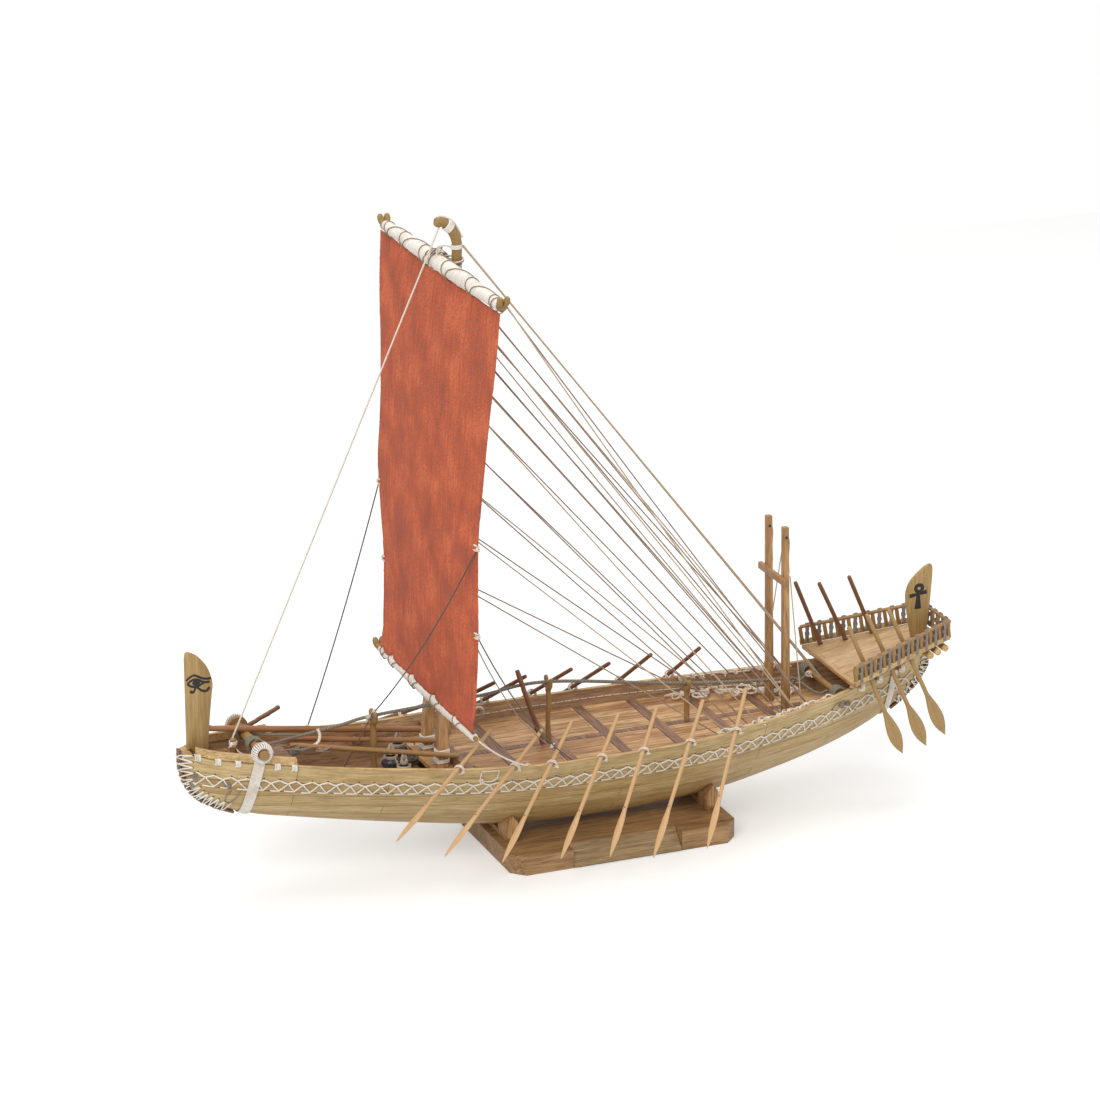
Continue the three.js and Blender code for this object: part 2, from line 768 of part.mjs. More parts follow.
function platformFrame() {
  const under = (x) => platformTop(x) - platformThickness - gap;
  const beams = bearerXs.map((x) => {
    const [x0, x1] = [x - bearerSize / 2, x + bearerSize / 2];
    const reach = platformHalf(x) - 1;
    return block(x0, x1, -reach, reach, sheerAt(x1) + gap, under(x0));
  });
  const rounds = roundBearerXs.map((x) => {
    const reach = platformHalf(x) + 3;
    const z = under(x - roundBearerRadius) - roundBearerRadius;
    return rod(v(x, -reach, z), v(x, reach, z), roundBearerRadius, undefined, 10);
  });
  const [a, b] = [bearerXs[0], platformBack - 1];
  const stringer = [[a, under(a)], [b, under(b)], [b, under(b) - 3], [a, under(a) - 3]];
  return join(beams, rounds, sideways(stringer, -2, 2));
}

function sternRail() {
  const edge = 1.5;
  const corner = (x, side) => [x, side * (platformHalf(x) + edge)];
  const path = [
    corner(platformFront, -1), corner(platformBack + edge, -1),
    corner(platformBack + edge, 1), corner(platformFront, 1),
  ];
  const pieces = [];
  const at = ([x, y], height) => v(x, y, platformTop(x) + height);
  for (let i = 0; i < 3; i++) {
    const [p, q] = [path[i], path[i + 1]];
    pieces.push(rod(at(p, railHeight), at(q, railHeight), railRadius));
    pieces.push(rod(at(p, 0.4), at(q, 0.4), railRadius - 0.2, undefined, 6));
    const count = Math.round(Math.hypot(q[0] - p[0], q[1] - p[1]) / railPostPitch);
    for (let k = i ? 1 : 0; k <= count; k++) {
      const place = [lerp(p[0], q[0], k / count), lerp(p[1], q[1], k / count)];
      pieces.push(rod(at(place, 0.4), at(place, railHeight), railPostSize / 2, undefined, 6));
    }
  }
  for (const p of path) {
    for (const height of [0.4, railHeight]) {
      const c = at(p, height);
      pieces.push(solid(new THREE.SphereGeometry(railRadius, 8, 6).translate(c.x, c.y, c.z)));
    }
  }
  return join(pieces);
}

// Oars
function oarDirection(sweep, dip, side) {
  const [a, e] = [radians(sweep), radians(dip)];
  return v(-Math.cos(e) * Math.sin(a), side * Math.cos(e) * Math.cos(a), -Math.sin(e));
}

const dipOn = (side, dip) => dip + (side > 0 ? starboardDip : 0);

// Where the loom crosses the gunwale, high enough to clear it through the whole swing
function oarSeat([x, sweep, dip], side) {
  const steepest = oarDirection(sweep + oarSwing, dipOn(side, dip), side);
  const share = Math.abs(steepest.y) / Math.hypot(steepest.y, steepest.z);
  return v(x, side * beamAt(x), sheerAt(x) + (oarRadius + gap) / share);
}

function rowingOar(row, side) {
  const [, sweep, dip, inboard] = row;
  const along = oarDirection(sweep, dipOn(side, dip), side);
  const seat = oarSeat(row, side);
  const from = seat.clone().addScaledVector(along, -inboard);
  const flat = v(0, 0, 1).cross(along).normalize();
  const shaft = 2 * oarRadius;
  const blade = oarLength - oarBladeLength;
  return loftAlong(from, along, flat, [
    [0, shaft * 0.8, shaft * 0.8], [1, shaft, shaft], [blade, shaft * 0.95, shaft * 0.95],
    [blade + 11, oarBladeWidth * 0.9, 1.5], [blade + 19, oarBladeWidth, 1.2],
    [blade + 29, oarBladeWidth * 0.66, 1], [oarLength, 0.5, 0.4],
  ]);
}

function steeringLine([topX, topY, topZ, tipX, tipY, tipZ, extra, lean], side) {
  const tip = v(platformFront + tipX, side * tipY, tipZ);
  const top = v(platformFront + topX - (side > 0 ? lean : 0), side * topY, topZ);
  if (side > 0) top.addScaledVector(top.clone().sub(tip).normalize(), extra);
  return { top, tip };
}

function steeringOar(row, side) {
  const { top, tip } = steeringLine(row, side);
  const along = tip.clone().sub(top);
  const length = along.length();
  along.normalize();
  const flat = v(1, 0, 0).addScaledVector(along, -along.x).normalize();
  const shaft = 2 * steeringRadius;
  const blade = length - steeringBladeLength;
  return loftAlong(top, along, flat, [
    [0, shaft * 0.8, shaft * 0.8], [1, shaft, shaft], [blade, shaft, shaft],
    [blade + 6, steeringBladeWidth * 0.86, 1.9], [blade + 12, steeringBladeWidth, 1.7],
    [blade + 19, steeringBladeWidth * 0.62, 1.3], [length, 0.8, 0.6],
  ]);
}

// Standing rigging
function belay(side, k) {
  const x = (side < 0 ? portBelays : starboardBelays)[k];
  return v(x, side * (beamAt(x) - belayInboard), sheerAt(x) - belayDrop);
}

// From just behind the yard's end down to a belay that a stay shares
function yardBrace([side, k, sag]) {
  const end = belay(side, k);
  const reach = yardTipRadius + gap + 0.9;
  const start = v(yardX + reach, side * (yardHalf - 3), yardZ - 0.5);
  const points = Array.from({ length: 9 }, (_, i) => {
    const t = i / 8;
    return start.clone().lerp(end, t).add(v(0, 0, -4 * sag * t * (1 - t)));
  });
  return tube(points, stayRadius, 10, 6);
}

function backstays() {
  const lines = [-1, 1].flatMap((side) => {
    const behind = (z) =>
      v(legX(z) + legSize(z) / 2 + gap + spineRadius + 0.1, side * legY(z), z);
    const fan = stayHeights.map((z, k) => line(behind(z), belay(side, k), stayRadius));
    const top = stayHeights[stayHeights.length - 1];
    const spine = rod(behind(stayHeights[0] - 2), behind(top + 1.2), spineRadius);
    return [...fan, spine];
  });
  const top = stayHeights[stayHeights.length - 1];
  const linkX = legX(top) + legSize(top) / 2 + gap + spineRadius + 0.1;
  const link = rod(v(linkX, -legY(top), top), v(linkX, legY(top), top), stayRadius, undefined, 6);
  return join(lines, link, yardBraces.map(yardBrace));
}

function mastheadRope() {
  const [hookX, hookZ] = [mastTopX - headHook, mastTopZ + headRise];
  const over = headRadius + gap + ropeRadius;
  const overHead = [
    v(bittX - 0.4, 0, foredeckTop(bittX) + bittHeight + gap + ropeRadius),
    v(hookX - 2.2, 0, hookZ - 1.5), v(hookX - 1.6, 0, hookZ + over - 0.2),
    v(hookX + 5.5, 0, hookZ + over - 0.4), v(hookX + 14.2, 0, hookZ - 1.5),
    v(hookX + 19.2, 0, hookZ - 13),
    v(trussPinX - 1.5, 0, trussPinZ + trussPinRadius + gap + ropeRadius + 0.2),
  ];
  const runs = overHead.slice(1).map((p, i) => rod(overHead[i], p, ropeRadius, undefined, 6));
  const bends = overHead.slice(1, -1).map((p) =>
    solid(new THREE.SphereGeometry(ropeRadius, 6, 4).translate(p.x, p.y, p.z)),
  );
  const second = rod(overHead[5], v(trussPinX - 2, 7, trussPinZ + 3.4), ropeRadius, undefined, 6);
  return join(runs, bends, second);
}

// Small pieces on deck
function bitt() {
  const foot = foredeckTop(bittX) + gap + 0.6;
  return join(
    rod(v(bittX, 0, foot), v(bittX, 0, foot + bittHeight - 1.2), bittRadius),
    rod(v(bittX, -4, foot + 6), v(bittX, 4, foot + 6), 1.1, undefined, 6),
  );
}

function jars() {
  const places = [[24.7, 9], [22.7, -9], [13.7, 26]].map(([ahead, y]) => [mastFootX - ahead, y]);
  const outline = [
    [0, 0], [jarRadius * 0.6, 0], [jarRadius, jarHeight * 0.45], [jarRadius * 0.9, jarHeight * 0.7],
    [jarRadius * 0.45, jarHeight * 0.9], [jarRadius * 0.5, jarHeight], [0, jarHeight],
  ].map(([r, z]) => new THREE.Vector2(r, z));
  const bodies = places.map(([x, y]) => {
    const geometry = new THREE.LatheGeometry(outline, 12);
    return solid(geometry.rotateX(Math.PI / 2).translate(x, y, holdFloorTop + gap));
  });
  const knot = holdFloorTop + gap + jarHeight * 0.86;
  const sling = places.slice(1).map(([x, y], i) =>
    rod(v(places[i][0], places[i][1], knot), v(x, y, knot), 0.9, undefined, 6),
  );
  return join(bodies, sling);
}

const poleRest = deckTop + gap + thwartHeight + gap + poleRadius;
const starboardPole = () =>
  rod(v(pinX - 14, 2.9, pinZ + 8.6), v(thwartX - 1, 24, poleRest + 0.4), poleRadius);
const portPole = () =>
  rod(v(foredeckEnd - 2, -4, foredeckTop(foredeckEnd) + gap + poleRadius + 0.5), v(thwartX - 1, -21.5, poleRest), poleRadius);
const middlePole = () =>
  rod(v(foredeckEnd - 6, 7.5, foredeckTop(foredeckEnd - 6) + gap + poleRadius + 0.5), v(thwartX - 1, 5.6, poleRest), poleRadius);

// Assembly
const finish = (color, roughness, metalness = 0) =>
  new THREE.MeshStandardMaterial({ color, roughness, metalness });
const hullWood = finish("#a08a5c", 0.55);
const deckWood = finish("#c4a274", 0.6);
const beamWood = finish("#7d5a48", 0.65);
const lightWood = finish("#d2a56b", 0.5);
const darkWood = finish("#8c6a42", 0.6);
const standWood = finish("#8d6b42", 0.5);
const postWood = finish("#a07840", 0.55);
const whiteCloth = finish("#ede5dc", 0.9);
const redCloth = finish("#c4563a", 0.95);
const creamCord = finish("#e8dcc8", 0.9);
const greyCord = finish("#4e4a42", 0.9);
const stone = finish("#4a4c50", 0.4);

const model = new THREE.Group();

function add(name, made, material) {
  const mesh = new THREE.Mesh(geometryOf(made), material);
  mesh.name = name;
  model.add(mesh);
}

add("stand_base", standBase(), standWood);
add("name_plate", namePlate(), standWood);
add("fore_cradle", cradle(cradleInset - baseLength / 2), postWood);
add("aft_cradle", cradle(baseLength / 2 - cradleInset), postWood);
add("hull", hull(), hullWood);
add("stem_post", stemPost(), darkWood);
add("stern_post", sternPost(), darkWood);
add("bow_board", bowBoard(), postWood);
add("stern_board", sternBoard(), postWood);
add("bow_rail_port", railPlank(-1), deckWood);
add("bow_rail_starboard", railPlank(1), deckWood);
add("main_deck", mainDeck(), deckWood);
add("deck_beams", deckBeams(), beamWood);
add("foredeck", foredeck(), beamWood);
add("platform_deck", platformDeck(), deckWood);
add("platform_frame", platformFrame(), postWood);
add("stern_rail", sternRail(), deckWood);
add("bow_pin", bowPinRod(0), postWood);
add("bow_girdle", bowGirdle(), whiteCloth);
add("stern_girdle", sternGirdle(), creamCord);
add("truss_pin", trussPin(), postWood);
add("truss_rope", trussRope(), greyCord);
const postNames = ["fork_post_fore", "fork_post_middle", "fork_post_aft"];
forkPosts.forEach(([x, z], i) => {
  const foot = x < deckStart ? holdFloorTop : deckTop + 0.2;
  add(postNames[i], forkPost(x, z, foot + gap), postWood);
});
add("tension_stick", tensionStick(), darkWood);
add("mast_leg_port", mastLeg(-1), postWood);
add("mast_leg_starboard", mastLeg(1), postWood);
add("masthead", masthead(), postWood);
add("yard", spar(yardX, yardZ, yardHalf, yardRadius, yardTipRadius, [-1, 1]), whiteCloth);
add("boom", spar(boomX, boomZ, boomHalf, boomRadius, boomTipRadius, [1]), whiteCloth);
add("sail", sail(), redCloth);
add("aft_gallows", aftGallows(), postWood);
for (const side of [-1, 1]) {
  const label = side < 0 ? "port" : "starboard";
  rowingOars.forEach((row, i) => add(`oar_${label}_${i + 1}`, rowingOar(row, side), lightWood));
  steeringOars.forEach((row, i) => add(`steering_oar_${label}_${i + 1}`, steeringOar(row, side), lightWood));
}
add("backstays", backstays(), creamCord);
add("masthead_rope", mastheadRope(), creamCord);
add("bitt", bitt(), postWood);
add("stone_jars", jars(), stone);
add("pole_starboard", starboardPole(), postWood);
add("pole_middle", middlePole(), postWood);
add("pole_port", portPole(), postWood);

export default model;
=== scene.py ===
import math
import random

import bmesh
import bpy
from mathutils import Matrix, Vector, noise


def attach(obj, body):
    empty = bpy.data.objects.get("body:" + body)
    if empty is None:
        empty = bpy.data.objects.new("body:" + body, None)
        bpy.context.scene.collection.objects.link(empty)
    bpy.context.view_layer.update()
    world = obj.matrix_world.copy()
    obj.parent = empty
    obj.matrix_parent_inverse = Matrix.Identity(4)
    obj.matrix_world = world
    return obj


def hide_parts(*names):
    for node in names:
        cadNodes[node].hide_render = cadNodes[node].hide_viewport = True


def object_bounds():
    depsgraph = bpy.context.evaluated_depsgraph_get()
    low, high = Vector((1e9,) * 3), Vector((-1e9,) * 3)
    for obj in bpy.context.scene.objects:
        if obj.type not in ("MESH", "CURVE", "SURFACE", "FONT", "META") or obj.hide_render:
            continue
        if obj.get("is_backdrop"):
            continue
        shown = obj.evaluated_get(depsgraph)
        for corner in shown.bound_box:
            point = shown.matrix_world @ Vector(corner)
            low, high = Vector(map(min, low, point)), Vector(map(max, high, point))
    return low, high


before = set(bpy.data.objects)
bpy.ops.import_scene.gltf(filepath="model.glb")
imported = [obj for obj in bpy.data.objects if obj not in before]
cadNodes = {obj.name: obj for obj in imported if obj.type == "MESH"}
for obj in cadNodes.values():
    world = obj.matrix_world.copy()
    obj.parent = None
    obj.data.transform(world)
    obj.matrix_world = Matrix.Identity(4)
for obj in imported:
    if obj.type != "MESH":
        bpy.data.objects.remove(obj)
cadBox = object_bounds()
scene = bpy.context.scene
scene.view_settings.view_transform = "Standard"
millimetre = 0.001
upward = Vector((0, 0, 1))
hullSides = ((-1, "Port"), (1, "Starboard"))
lashCord = 0.42  # half the thickness of the cord in most lashings
print("frame loaded:", len(cadNodes), "nodes")

# Camera
cameraView = {
    "position": (-964.2, -2289.3, 1058.5),
    "target": (-31.9, 0, 189.5),
    "lens": 141.49,
    "sensor": 36,
}
camera = bpy.data.objects.new("camera", bpy.data.cameras.new("camera"))
camera.data.lens = cameraView["lens"]
camera.data.sensor_width = cameraView["sensor"]
camera.data.clip_end = 50
camera.location = Vector(cameraView["position"]) * millimetre
sight = Vector(cameraView["target"]) - Vector(cameraView["position"])
camera.rotation_euler = sight.to_track_quat("-Z", "Y").to_euler()
scene.collection.objects.link(camera)
scene.camera = camera


# Materials
def linear(code):
    # an sRGB hex value as the linear colour that the sockets take
    parts = [int(code[i : i + 2], 16) / 255 for i in (1, 3, 5)]
    return [p / 12.92 if p <= 0.04045 else ((p + 0.055) / 1.055) ** 2.4 for p in parts] + [1]


def setInputs(node, inputs):
    # values, sRGB colours or links; a node stands for its own first output
    for key, value in inputs.items():
        socket = node.inputs[key]
        if isinstance(value, bpy.types.Node):
            value = value.outputs[0]
        if isinstance(value, bpy.types.NodeSocket):
            node.id_data.links.new(value, socket)
        else:
            socket.default_value = linear(value) if isinstance(value, str) else value


def addNode(tree, kind, inputs=None, stops=None, **settings):
    # a shader node with its settings, its values or links, and a ramp's stops
    node = tree.nodes.new("ShaderNode" + kind)
    for key, value in settings.items():
        setattr(node, key, value)
    setInputs(node, inputs or {})
    for k, (place, colour) in enumerate(stops or []):
        elements = node.color_ramp.elements
        element = elements[k] if k < 2 else elements.new(place)
        element.position = place
        element.color = linear(colour)
    return node


def newMaterial(name):
    material = bpy.data.materials.new(name)
    material.use_nodes = True
    tree = material.node_tree
    tree.nodes.clear()
    surface = addNode(tree, "BsdfPrincipled")
    addNode(tree, "OutputMaterial", {"Surface": surface})
    return material, tree, surface


def woodFinish(name, pale, mid, deep, pore, grain=1.6, along="X", uv=False, plank=None, rough=0.5, worn=0.8):
    # stained and waxed wood: long soft figure, short dark pores and a satin face
    material, tree, surface = newMaterial(name)
    coords = addNode(tree, "TexCoord").outputs["UV" if uv else "Object"]
    turn = {"X": (0, 0, 0), "Y": (0, 0, math.pi / 2), "Z": (0, math.pi / 2, 0)}[along]
    turned = addNode(tree, "Mapping", {"Vector": coords, "Rotation": turn})
    across = 1 / (grain * millimetre)
    patterns = []
    # length and width, in grains, of the figure's bands, of the fibres and of the pores
    for length, width, look in (
        (40, 5, {"Detail": 4, "Distortion": 0.4}),
        (16, 1, {"Detail": 4, "Roughness": 0.6}),
        (7, 1 / 1.8, {"Detail": 2}),
    ):
        stretch = (across / length, across / width, across / width)
        place = addNode(tree, "Mapping", {"Vector": turned, "Scale": stretch})
        patterns.append(addNode(tree, "TexNoise", {"Vector": place, "Scale": 1, **look}))
    figure, fibre, pores = patterns
    tone = addNode(tree, "Mix", {0: 0.6, 2: figure, 3: fibre}, data_type="FLOAT")
    ramp = addNode(tree, "ValToRGB", {"Fac": tone}, stops=[(0.4, deep), (0.6, pale), (0.5, mid)])
    poreRange = {"From Min": 0.55, "From Max": 0.72, "To Max": worn}
    height = addNode(tree, "MapRange", {"Value": pores, **poreRange})
    colour = addNode(tree, "Mix", {0: height, 6: ramp, 7: pore}, data_type="RGBA").outputs[2]
    if plank:
        # boards: each its own tone, with a thin dark seam round it
        length, width, seam, tint, joint = plank
        look = {"Color1": "#FFFFFF", "Color2": tint, "Mortar": joint, "Mortar Smooth": 0.4, "Bias": 0.0}
        size = {"Brick Width": length, "Row Height": width, "Mortar Size": seam}
        size = {key: value * millimetre for key, value in size.items()}
        boards = addNode(tree, "TexBrick", {"Vector": turned, "Scale": 1.0, **look, **size}, offset=0.37)
        layers = {0: 1.0, 6: colour, 7: boards}
        colour = addNode(tree, "Mix", layers, data_type="RGBA", blend_type="MULTIPLY").outputs[2]
        height = addNode(tree, "Math", {0: height, 1: boards.outputs["Fac"]}, operation="MAXIMUM")
    bump = addNode(tree, "Bump", {"Height": height, "Strength": 0.35, "Distance": 0.00015}, invert=True)
    gloss = addNode(tree, "MapRange", {"Value": figure, "To Min": rough - 0.08, "To Max": rough + 0.1})
    setInputs(surface, {"Base Color": colour, "Roughness": gloss, "Normal": bump, "IOR": 1.48})
    return material


def cordFinish(name, pale, deep, strands=3, lay=3.4):
    # laid cotton or linen cord: three strands, with painted shade darkening the grooves between them, and a dull
    # fuzzy face
    material, tree, surface = newMaterial(name)
    coords = addNode(tree, "TexCoord")
    split = addNode(tree, "SeparateXYZ", {"Vector": coords.outputs["UV"]}).outputs
    # one unit of the map's length is one thickness of the cord
    turn = addNode(tree, "Math", {0: split["X"], 1: 1 / lay, 2: split["Y"]}, operation="MULTIPLY_ADD")
    wave = addNode(tree, "Math", {0: turn, 1: strands * math.pi}, operation="MULTIPLY")
    wave = addNode(tree, "Math", {0: wave}, operation="SINE")
    strand = addNode(tree, "Math", {0: wave}, operation="ABSOLUTE")
    fuzz = addNode(tree, "TexNoise", {"Vector": coords.outputs["Object"], "Scale": 900, "Detail": 3})
    shade = addNode(tree, "Math", {0: strand, 1: fuzz, 2: 0.12}, operation="MULTIPLY_ADD")
    # painted shade: the deep colour goes into the grooves, the pale colour onto the crowns of the strands
    colour = addNode(tree, "ValToRGB", {"Fac": shade}, stops=[(0.08, deep), (0.55, pale)])
    bump = addNode(tree, "Bump", {"Height": shade, "Strength": 0.7, "Distance": 0.0002})
    setInputs(surface, {"Base Color": colour, "Normal": bump, "Roughness": 0.9, "Sheen Weight": 0.15})
    return material


def clothFinish(name, pale, mid, deep, fleck, thread=1.1, streak=0.5, soil=0.35, sheen=0.15):
    # plain-woven linen: threads over and under, dyed unevenly along the warp
    material, tree, surface = newMaterial(name)
    coords = addNode(tree, "TexCoord").outputs["UV"]
    # real threads are about 0.35 mm; drawn two to four times coarser so that they show
    threads = {"Vector": coords, "Scale": 0.314 / (thread * millimetre), "Distortion": 1.2}
    weft, warp = [addNode(tree, "TexWave", threads, bands_direction=way).outputs["Fac"] for way in "XY"]
    woven = addNode(tree, "Math", {0: weft, 1: warp}, operation="MULTIPLY")
    drawn = addNode(tree, "Mapping", {"Vector": coords, "Scale": (420, 42, 1)})
    streaks = addNode(tree, "TexNoise", {"Vector": drawn, "Scale": 1, "Detail": 5, "Roughness": 0.7})
    cloud = addNode(tree, "TexNoise", {"Vector": coords, "Scale": 38, "Detail": 3})
    tone = addNode(tree, "Mix", {0: streak, 2: cloud, 3: streaks}, data_type="FLOAT")
    ramp = addNode(tree, "ValToRGB", {"Fac": tone}, stops=[(0.38, deep), (0.62, pale), (0.5, mid)])
    specks = addNode(tree, "TexNoise", {"Vector": coords, "Scale": 520, "Detail": 3, "Roughness": 0.6})
    speckRange = {"From Min": 0.5, "From Max": 0.68, "To Max": soil}
    speckMask = addNode(tree, "MapRange", {"Value": specks, **speckRange})
    colour = addNode(tree, "Mix", {0: speckMask, 6: ramp, 7: fleck}, data_type="RGBA").outputs[2]
    bump = addNode(tree, "Bump", {"Height": woven, "Strength": 0.6, "Distance": 0.0003})
    setInputs(surface, {"Base Color": colour, "Normal": bump, "Roughness": 0.95, "Sheen Weight": sheen})
    return material


hullWood = woodFinish(
    "hullWaxedLime", "#D6BE8D", "#C4A976", "#AC9163", "#86693F", 1.0, uv=True,
    plank=(150, 9.4, 0.2, "#EFE6D8", "#947C58"), worn=0.5,
)
holdWood = woodFinish("holdRedPine", "#B08C60", "#99744E", "#7F5C3B", "#573C26", 1.2, uv=True)
trimWood = woodFinish("trimWaxedLime", "#D8B983", "#C6A470", "#AC8A59", "#7D6140", 1.2)
boardWood = woodFinish("endBoardWaxedLime", "#B59762", "#A98A57", "#9B7C4B", "#7E6340", 1.6, "Z", worn=0.5)
postWood = woodFinish("postWaxedLime", "#BE9663", "#A97F50", "#8F683F", "#694A2C", 1.2, "Z")
mastWood = woodFinish("mastWaxedLime", "#D6A976", "#BE9263", "#A47C50", "#7A5836", 1.2, "Z")
deckWood = woodFinish(
    "deckPlankedPine", "#EBC592", "#CBA06D", "#A0744A", "#6E4C30", 1.5,
    plank=(96, 8.5, 0.16, "#DCCDBE", "#5A4230"),
)
platformWood = woodFinish(
    "platformPlankedPine", "#D0B187", "#C3A278", "#B3926A", "#927452", 1.6,
    plank=(160, 9.5, 0.14, "#F0E6D8", "#86694C"), worn=0.4,
)
edgeWood = woodFinish("edgeStripLime", "#C8A26C", "#B58B57", "#9B7346", "#6C4E2E", 1.6, "Y")
beamWood = woodFinish("beamWalnut", "#9E7A5C", "#876349", "#6E4C38", "#4A3024", 1.2, "Y")
foreWood = woodFinish("foredeckWalnut", "#A98261", "#90694B", "#775339", "#4E3525", 1.4)
oarWood = woodFinish("oarBeech", "#DDB98A", "#CDA574", "#B68B5B", "#8E6B44", 0.9, uv=True)
# a darker copy of the oar wood: painted shade on the starboard oars and on the bow stick, and also the wood of the
# tension stick
darkAndShadedOarWood = woodFinish("oarDarkWoodAndPaintedShade", "#966B4A", "#7E5638", "#68452B", "#432C1B", 0.9, uv=True)
steeringWood = woodFinish("steeringOarLime", "#C0A06C", "#AC8A57", "#91713F", "#6A522F", 1.0, uv=True)
rodWood = woodFinish("rodLime", "#B8925E", "#9F7948", "#846137", "#5E4427", 1.0, uv=True)
tipWood = woodFinish("tipOlive", "#B08F58", "#97773F", "#7B5F2F", "#564020", 1.0, uv=True)
poleWood = woodFinish("polePine", "#BC8D61", "#A37349", "#885C38", "#603F27", 1.0, uv=True)
stemWood = woodFinish("stemWalnut", "#8F6B48", "#775537", "#5E412A", "#402B1C", 1.0)
standWood = woodFinish("standWalnut", "#B48E60", "#9C7850", "#82603F", "#5C432B", 1.8)
bevelWood = woodFinish("plateLime", "#AE9269", "#9A7F59", "#846B49", "#665136", 1.6)
creamCord = cordFinish("creamLinenCord", "#F3E9DA", "#B6A48B")
whiteCord = cordFinish("whiteCottonCord", "#F8F4EC", "#C6BAA8")
brownCord = cordFinish("brownWaxedCord", "#A58B76", "#695344")
tanCord = cordFinish("tanLinenCord", "#D2BA9C", "#957A60")
# dark cord for the braces and the hold coils, and painted shade as the core under the bow girdle rings
darkCordAndGapShade = cordFinish("darkWaxedCordAndGapShade", "#675B50", "#352E28")
greyCord = cordFinish("greyHempRope", "#8B8473", "#514C3F")
mauveCord = cordFinish("mauveLinenCord", "#A39485", "#4E433A")
sailCloth = clothFinish("sailDyedLinen", "#DC7047", "#C45D3A", "#A85239", "#86584A", 1.3, 0.45, 0.8, 0.0)
wrapCloth = clothFinish("wrapBleachedLinen", "#F4EFE6", "#ECE5D9", "#DED4C6", "#C9BBA6", 0.9, 0.4, 0.3)
strapCloth = clothFinish("strapWovenLinen", "#F8F2E8", "#EFE6D8", "#DDD0BE", "#B5A897", 0.7, 0.3, 0.4)


def jarFinish():
    # burnished dark earthenware: a soft gloss over slight throwing rings
    material, tree, surface = newMaterial("jarBurnishedClay")
    coords = addNode(tree, "TexCoord").outputs["Object"]
    blotch = addNode(tree, "TexNoise", {"Vector": coords, "Scale": 260, "Detail": 4})
    colour = addNode(tree, "ValToRGB", {"Fac": blotch}, stops=[(0.35, "#2A2C30"), (0.7, "#5C6168")])
    wheel = {"Vector": coords, "Scale": 320, "Distortion": 0.6}
    rings = addNode(tree, "TexWave", wheel, bands_direction="Z").outputs["Fac"]
    bump = addNode(tree, "Bump", {"Height": rings, "Strength": 0.15, "Distance": 0.0002})
    setInputs(surface, {"Base Color": colour, "Normal": bump, "Roughness": 0.22})
    return material


def inkFinish():
    # black paint, brushed on bare wood: dull, a little worn; also painted shade in the sewing holes and the gallows
    # holes
    material, tree, surface = newMaterial("blackBrushedPaintAndHoleShade")
    coords = addNode(tree, "TexCoord").outputs["Object"]
    worn = addNode(tree, "TexNoise", {"Vector": coords, "Scale": 1400, "Detail": 3})
    colour = addNode(tree, "ValToRGB", {"Fac": worn}, stops=[(0.45, "#15120F"), (0.8, "#3A3026")])
    setInputs(surface, {"Base Color": colour, "Roughness": 0.6})
    return material


jarClay = jarFinish()
blackPaintAndHoleShade = inkFinish()
print("materials made:", len(bpy.data.materials))


# Shapes
def newShape():
    bm = bmesh.new()
    bm.loops.layers.uv.new("UVMap")
    return bm


def mix(a, b, share):
    return a + (b - a) * share


def edgesOf(verts):
    return list(dict.fromkeys(e for v in verts for e in v.link_edges))


def easeEdges(bm, edges, offset, segments=2):
    bmesh.ops.bevel(bm, geom=edges, offset=offset, segments=segments, profile=0.5, affect="EDGES", material=-1)


def mapFaces(bm, faces, placeOf):
    # the map place of each vertex, given to the faces' corners
    uv = bm.loops.layers.uv.verify()
    for face in faces:
        for loop in face.loops:
            loop[uv].uv = placeOf[loop.vert]


def sweep(bm, path, radius, sides=8, thin=None, flat=None, unit=None):
    # a circle extruded along a path; radius and thin are half width and half thickness
    uv = bm.loops.layers.uv.verify()
    points = [Vector(p) for p in path]
    last = len(points) - 1
    wide = radius if isinstance(radius, list) else [radius] * (last + 1)
    narrow = thin or wide
    unit = unit or 2 * wide[last // 2]
    side, ring, travelled = None, None, 0.0
    for k, point in enumerate(points):
        along = (points[min(k + 1, last)] - points[max(k - 1, 0)]).normalized()
        if flat is not None:
            side = Vector(flat)
        elif side is None:
            side = along.orthogonal()
        side = (side - along * side.dot(along)).normalized()
        over = along.cross(side)
        angles = [2 * math.pi * i / sides for i in range(sides)]
        places = [
            point + side * (wide[k] * math.cos(a)) + over * (narrow[k] * math.sin(a))
            for a in angles
        ]
        if ring is None:
            ring = bmesh.ops.create_circle(bm, segments=sides, radius=1)["verts"]
            for vert, place in zip(ring, places):
                vert.co = place
            bmesh.ops.contextual_create(bm, geom=ring)
            continue
        edges = [bm.edges.get((ring[i], ring[(i + 1) % sides])) for i in range(sides)]
        made = bmesh.ops.extrude_edge_only(bm, edges=edges)["geom"]
        fresh = {e for e in made if isinstance(e, bmesh.types.BMVert)}
        grown = [
            next(e.other_vert(v) for e in v.link_edges if e.other_vert(v) in fresh) for v in ring
        ]
        step = (point - points[k - 1]).length
        order = {v: (travelled, i) for i, v in enumerate(ring)}
        travelled += step
        order.update({v: (travelled, i) for i, v in enumerate(grown)})
        for vert, place in zip(grown, places):
            vert.co = place
        for face in made:
            if isinstance(face, bmesh.types.BMFace):
                around = [order[loop.vert][1] for loop in face.loops]
                wraps = max(around) - min(around) > 1
                for loop in face.loops:
                    distance, i = order[loop.vert]
                    turn = sides if wraps and i == 0 else i
                    loop[uv].uv = (distance / unit, turn / sides)
        ring = grown
    bmesh.ops.contextual_create(bm, geom=ring)


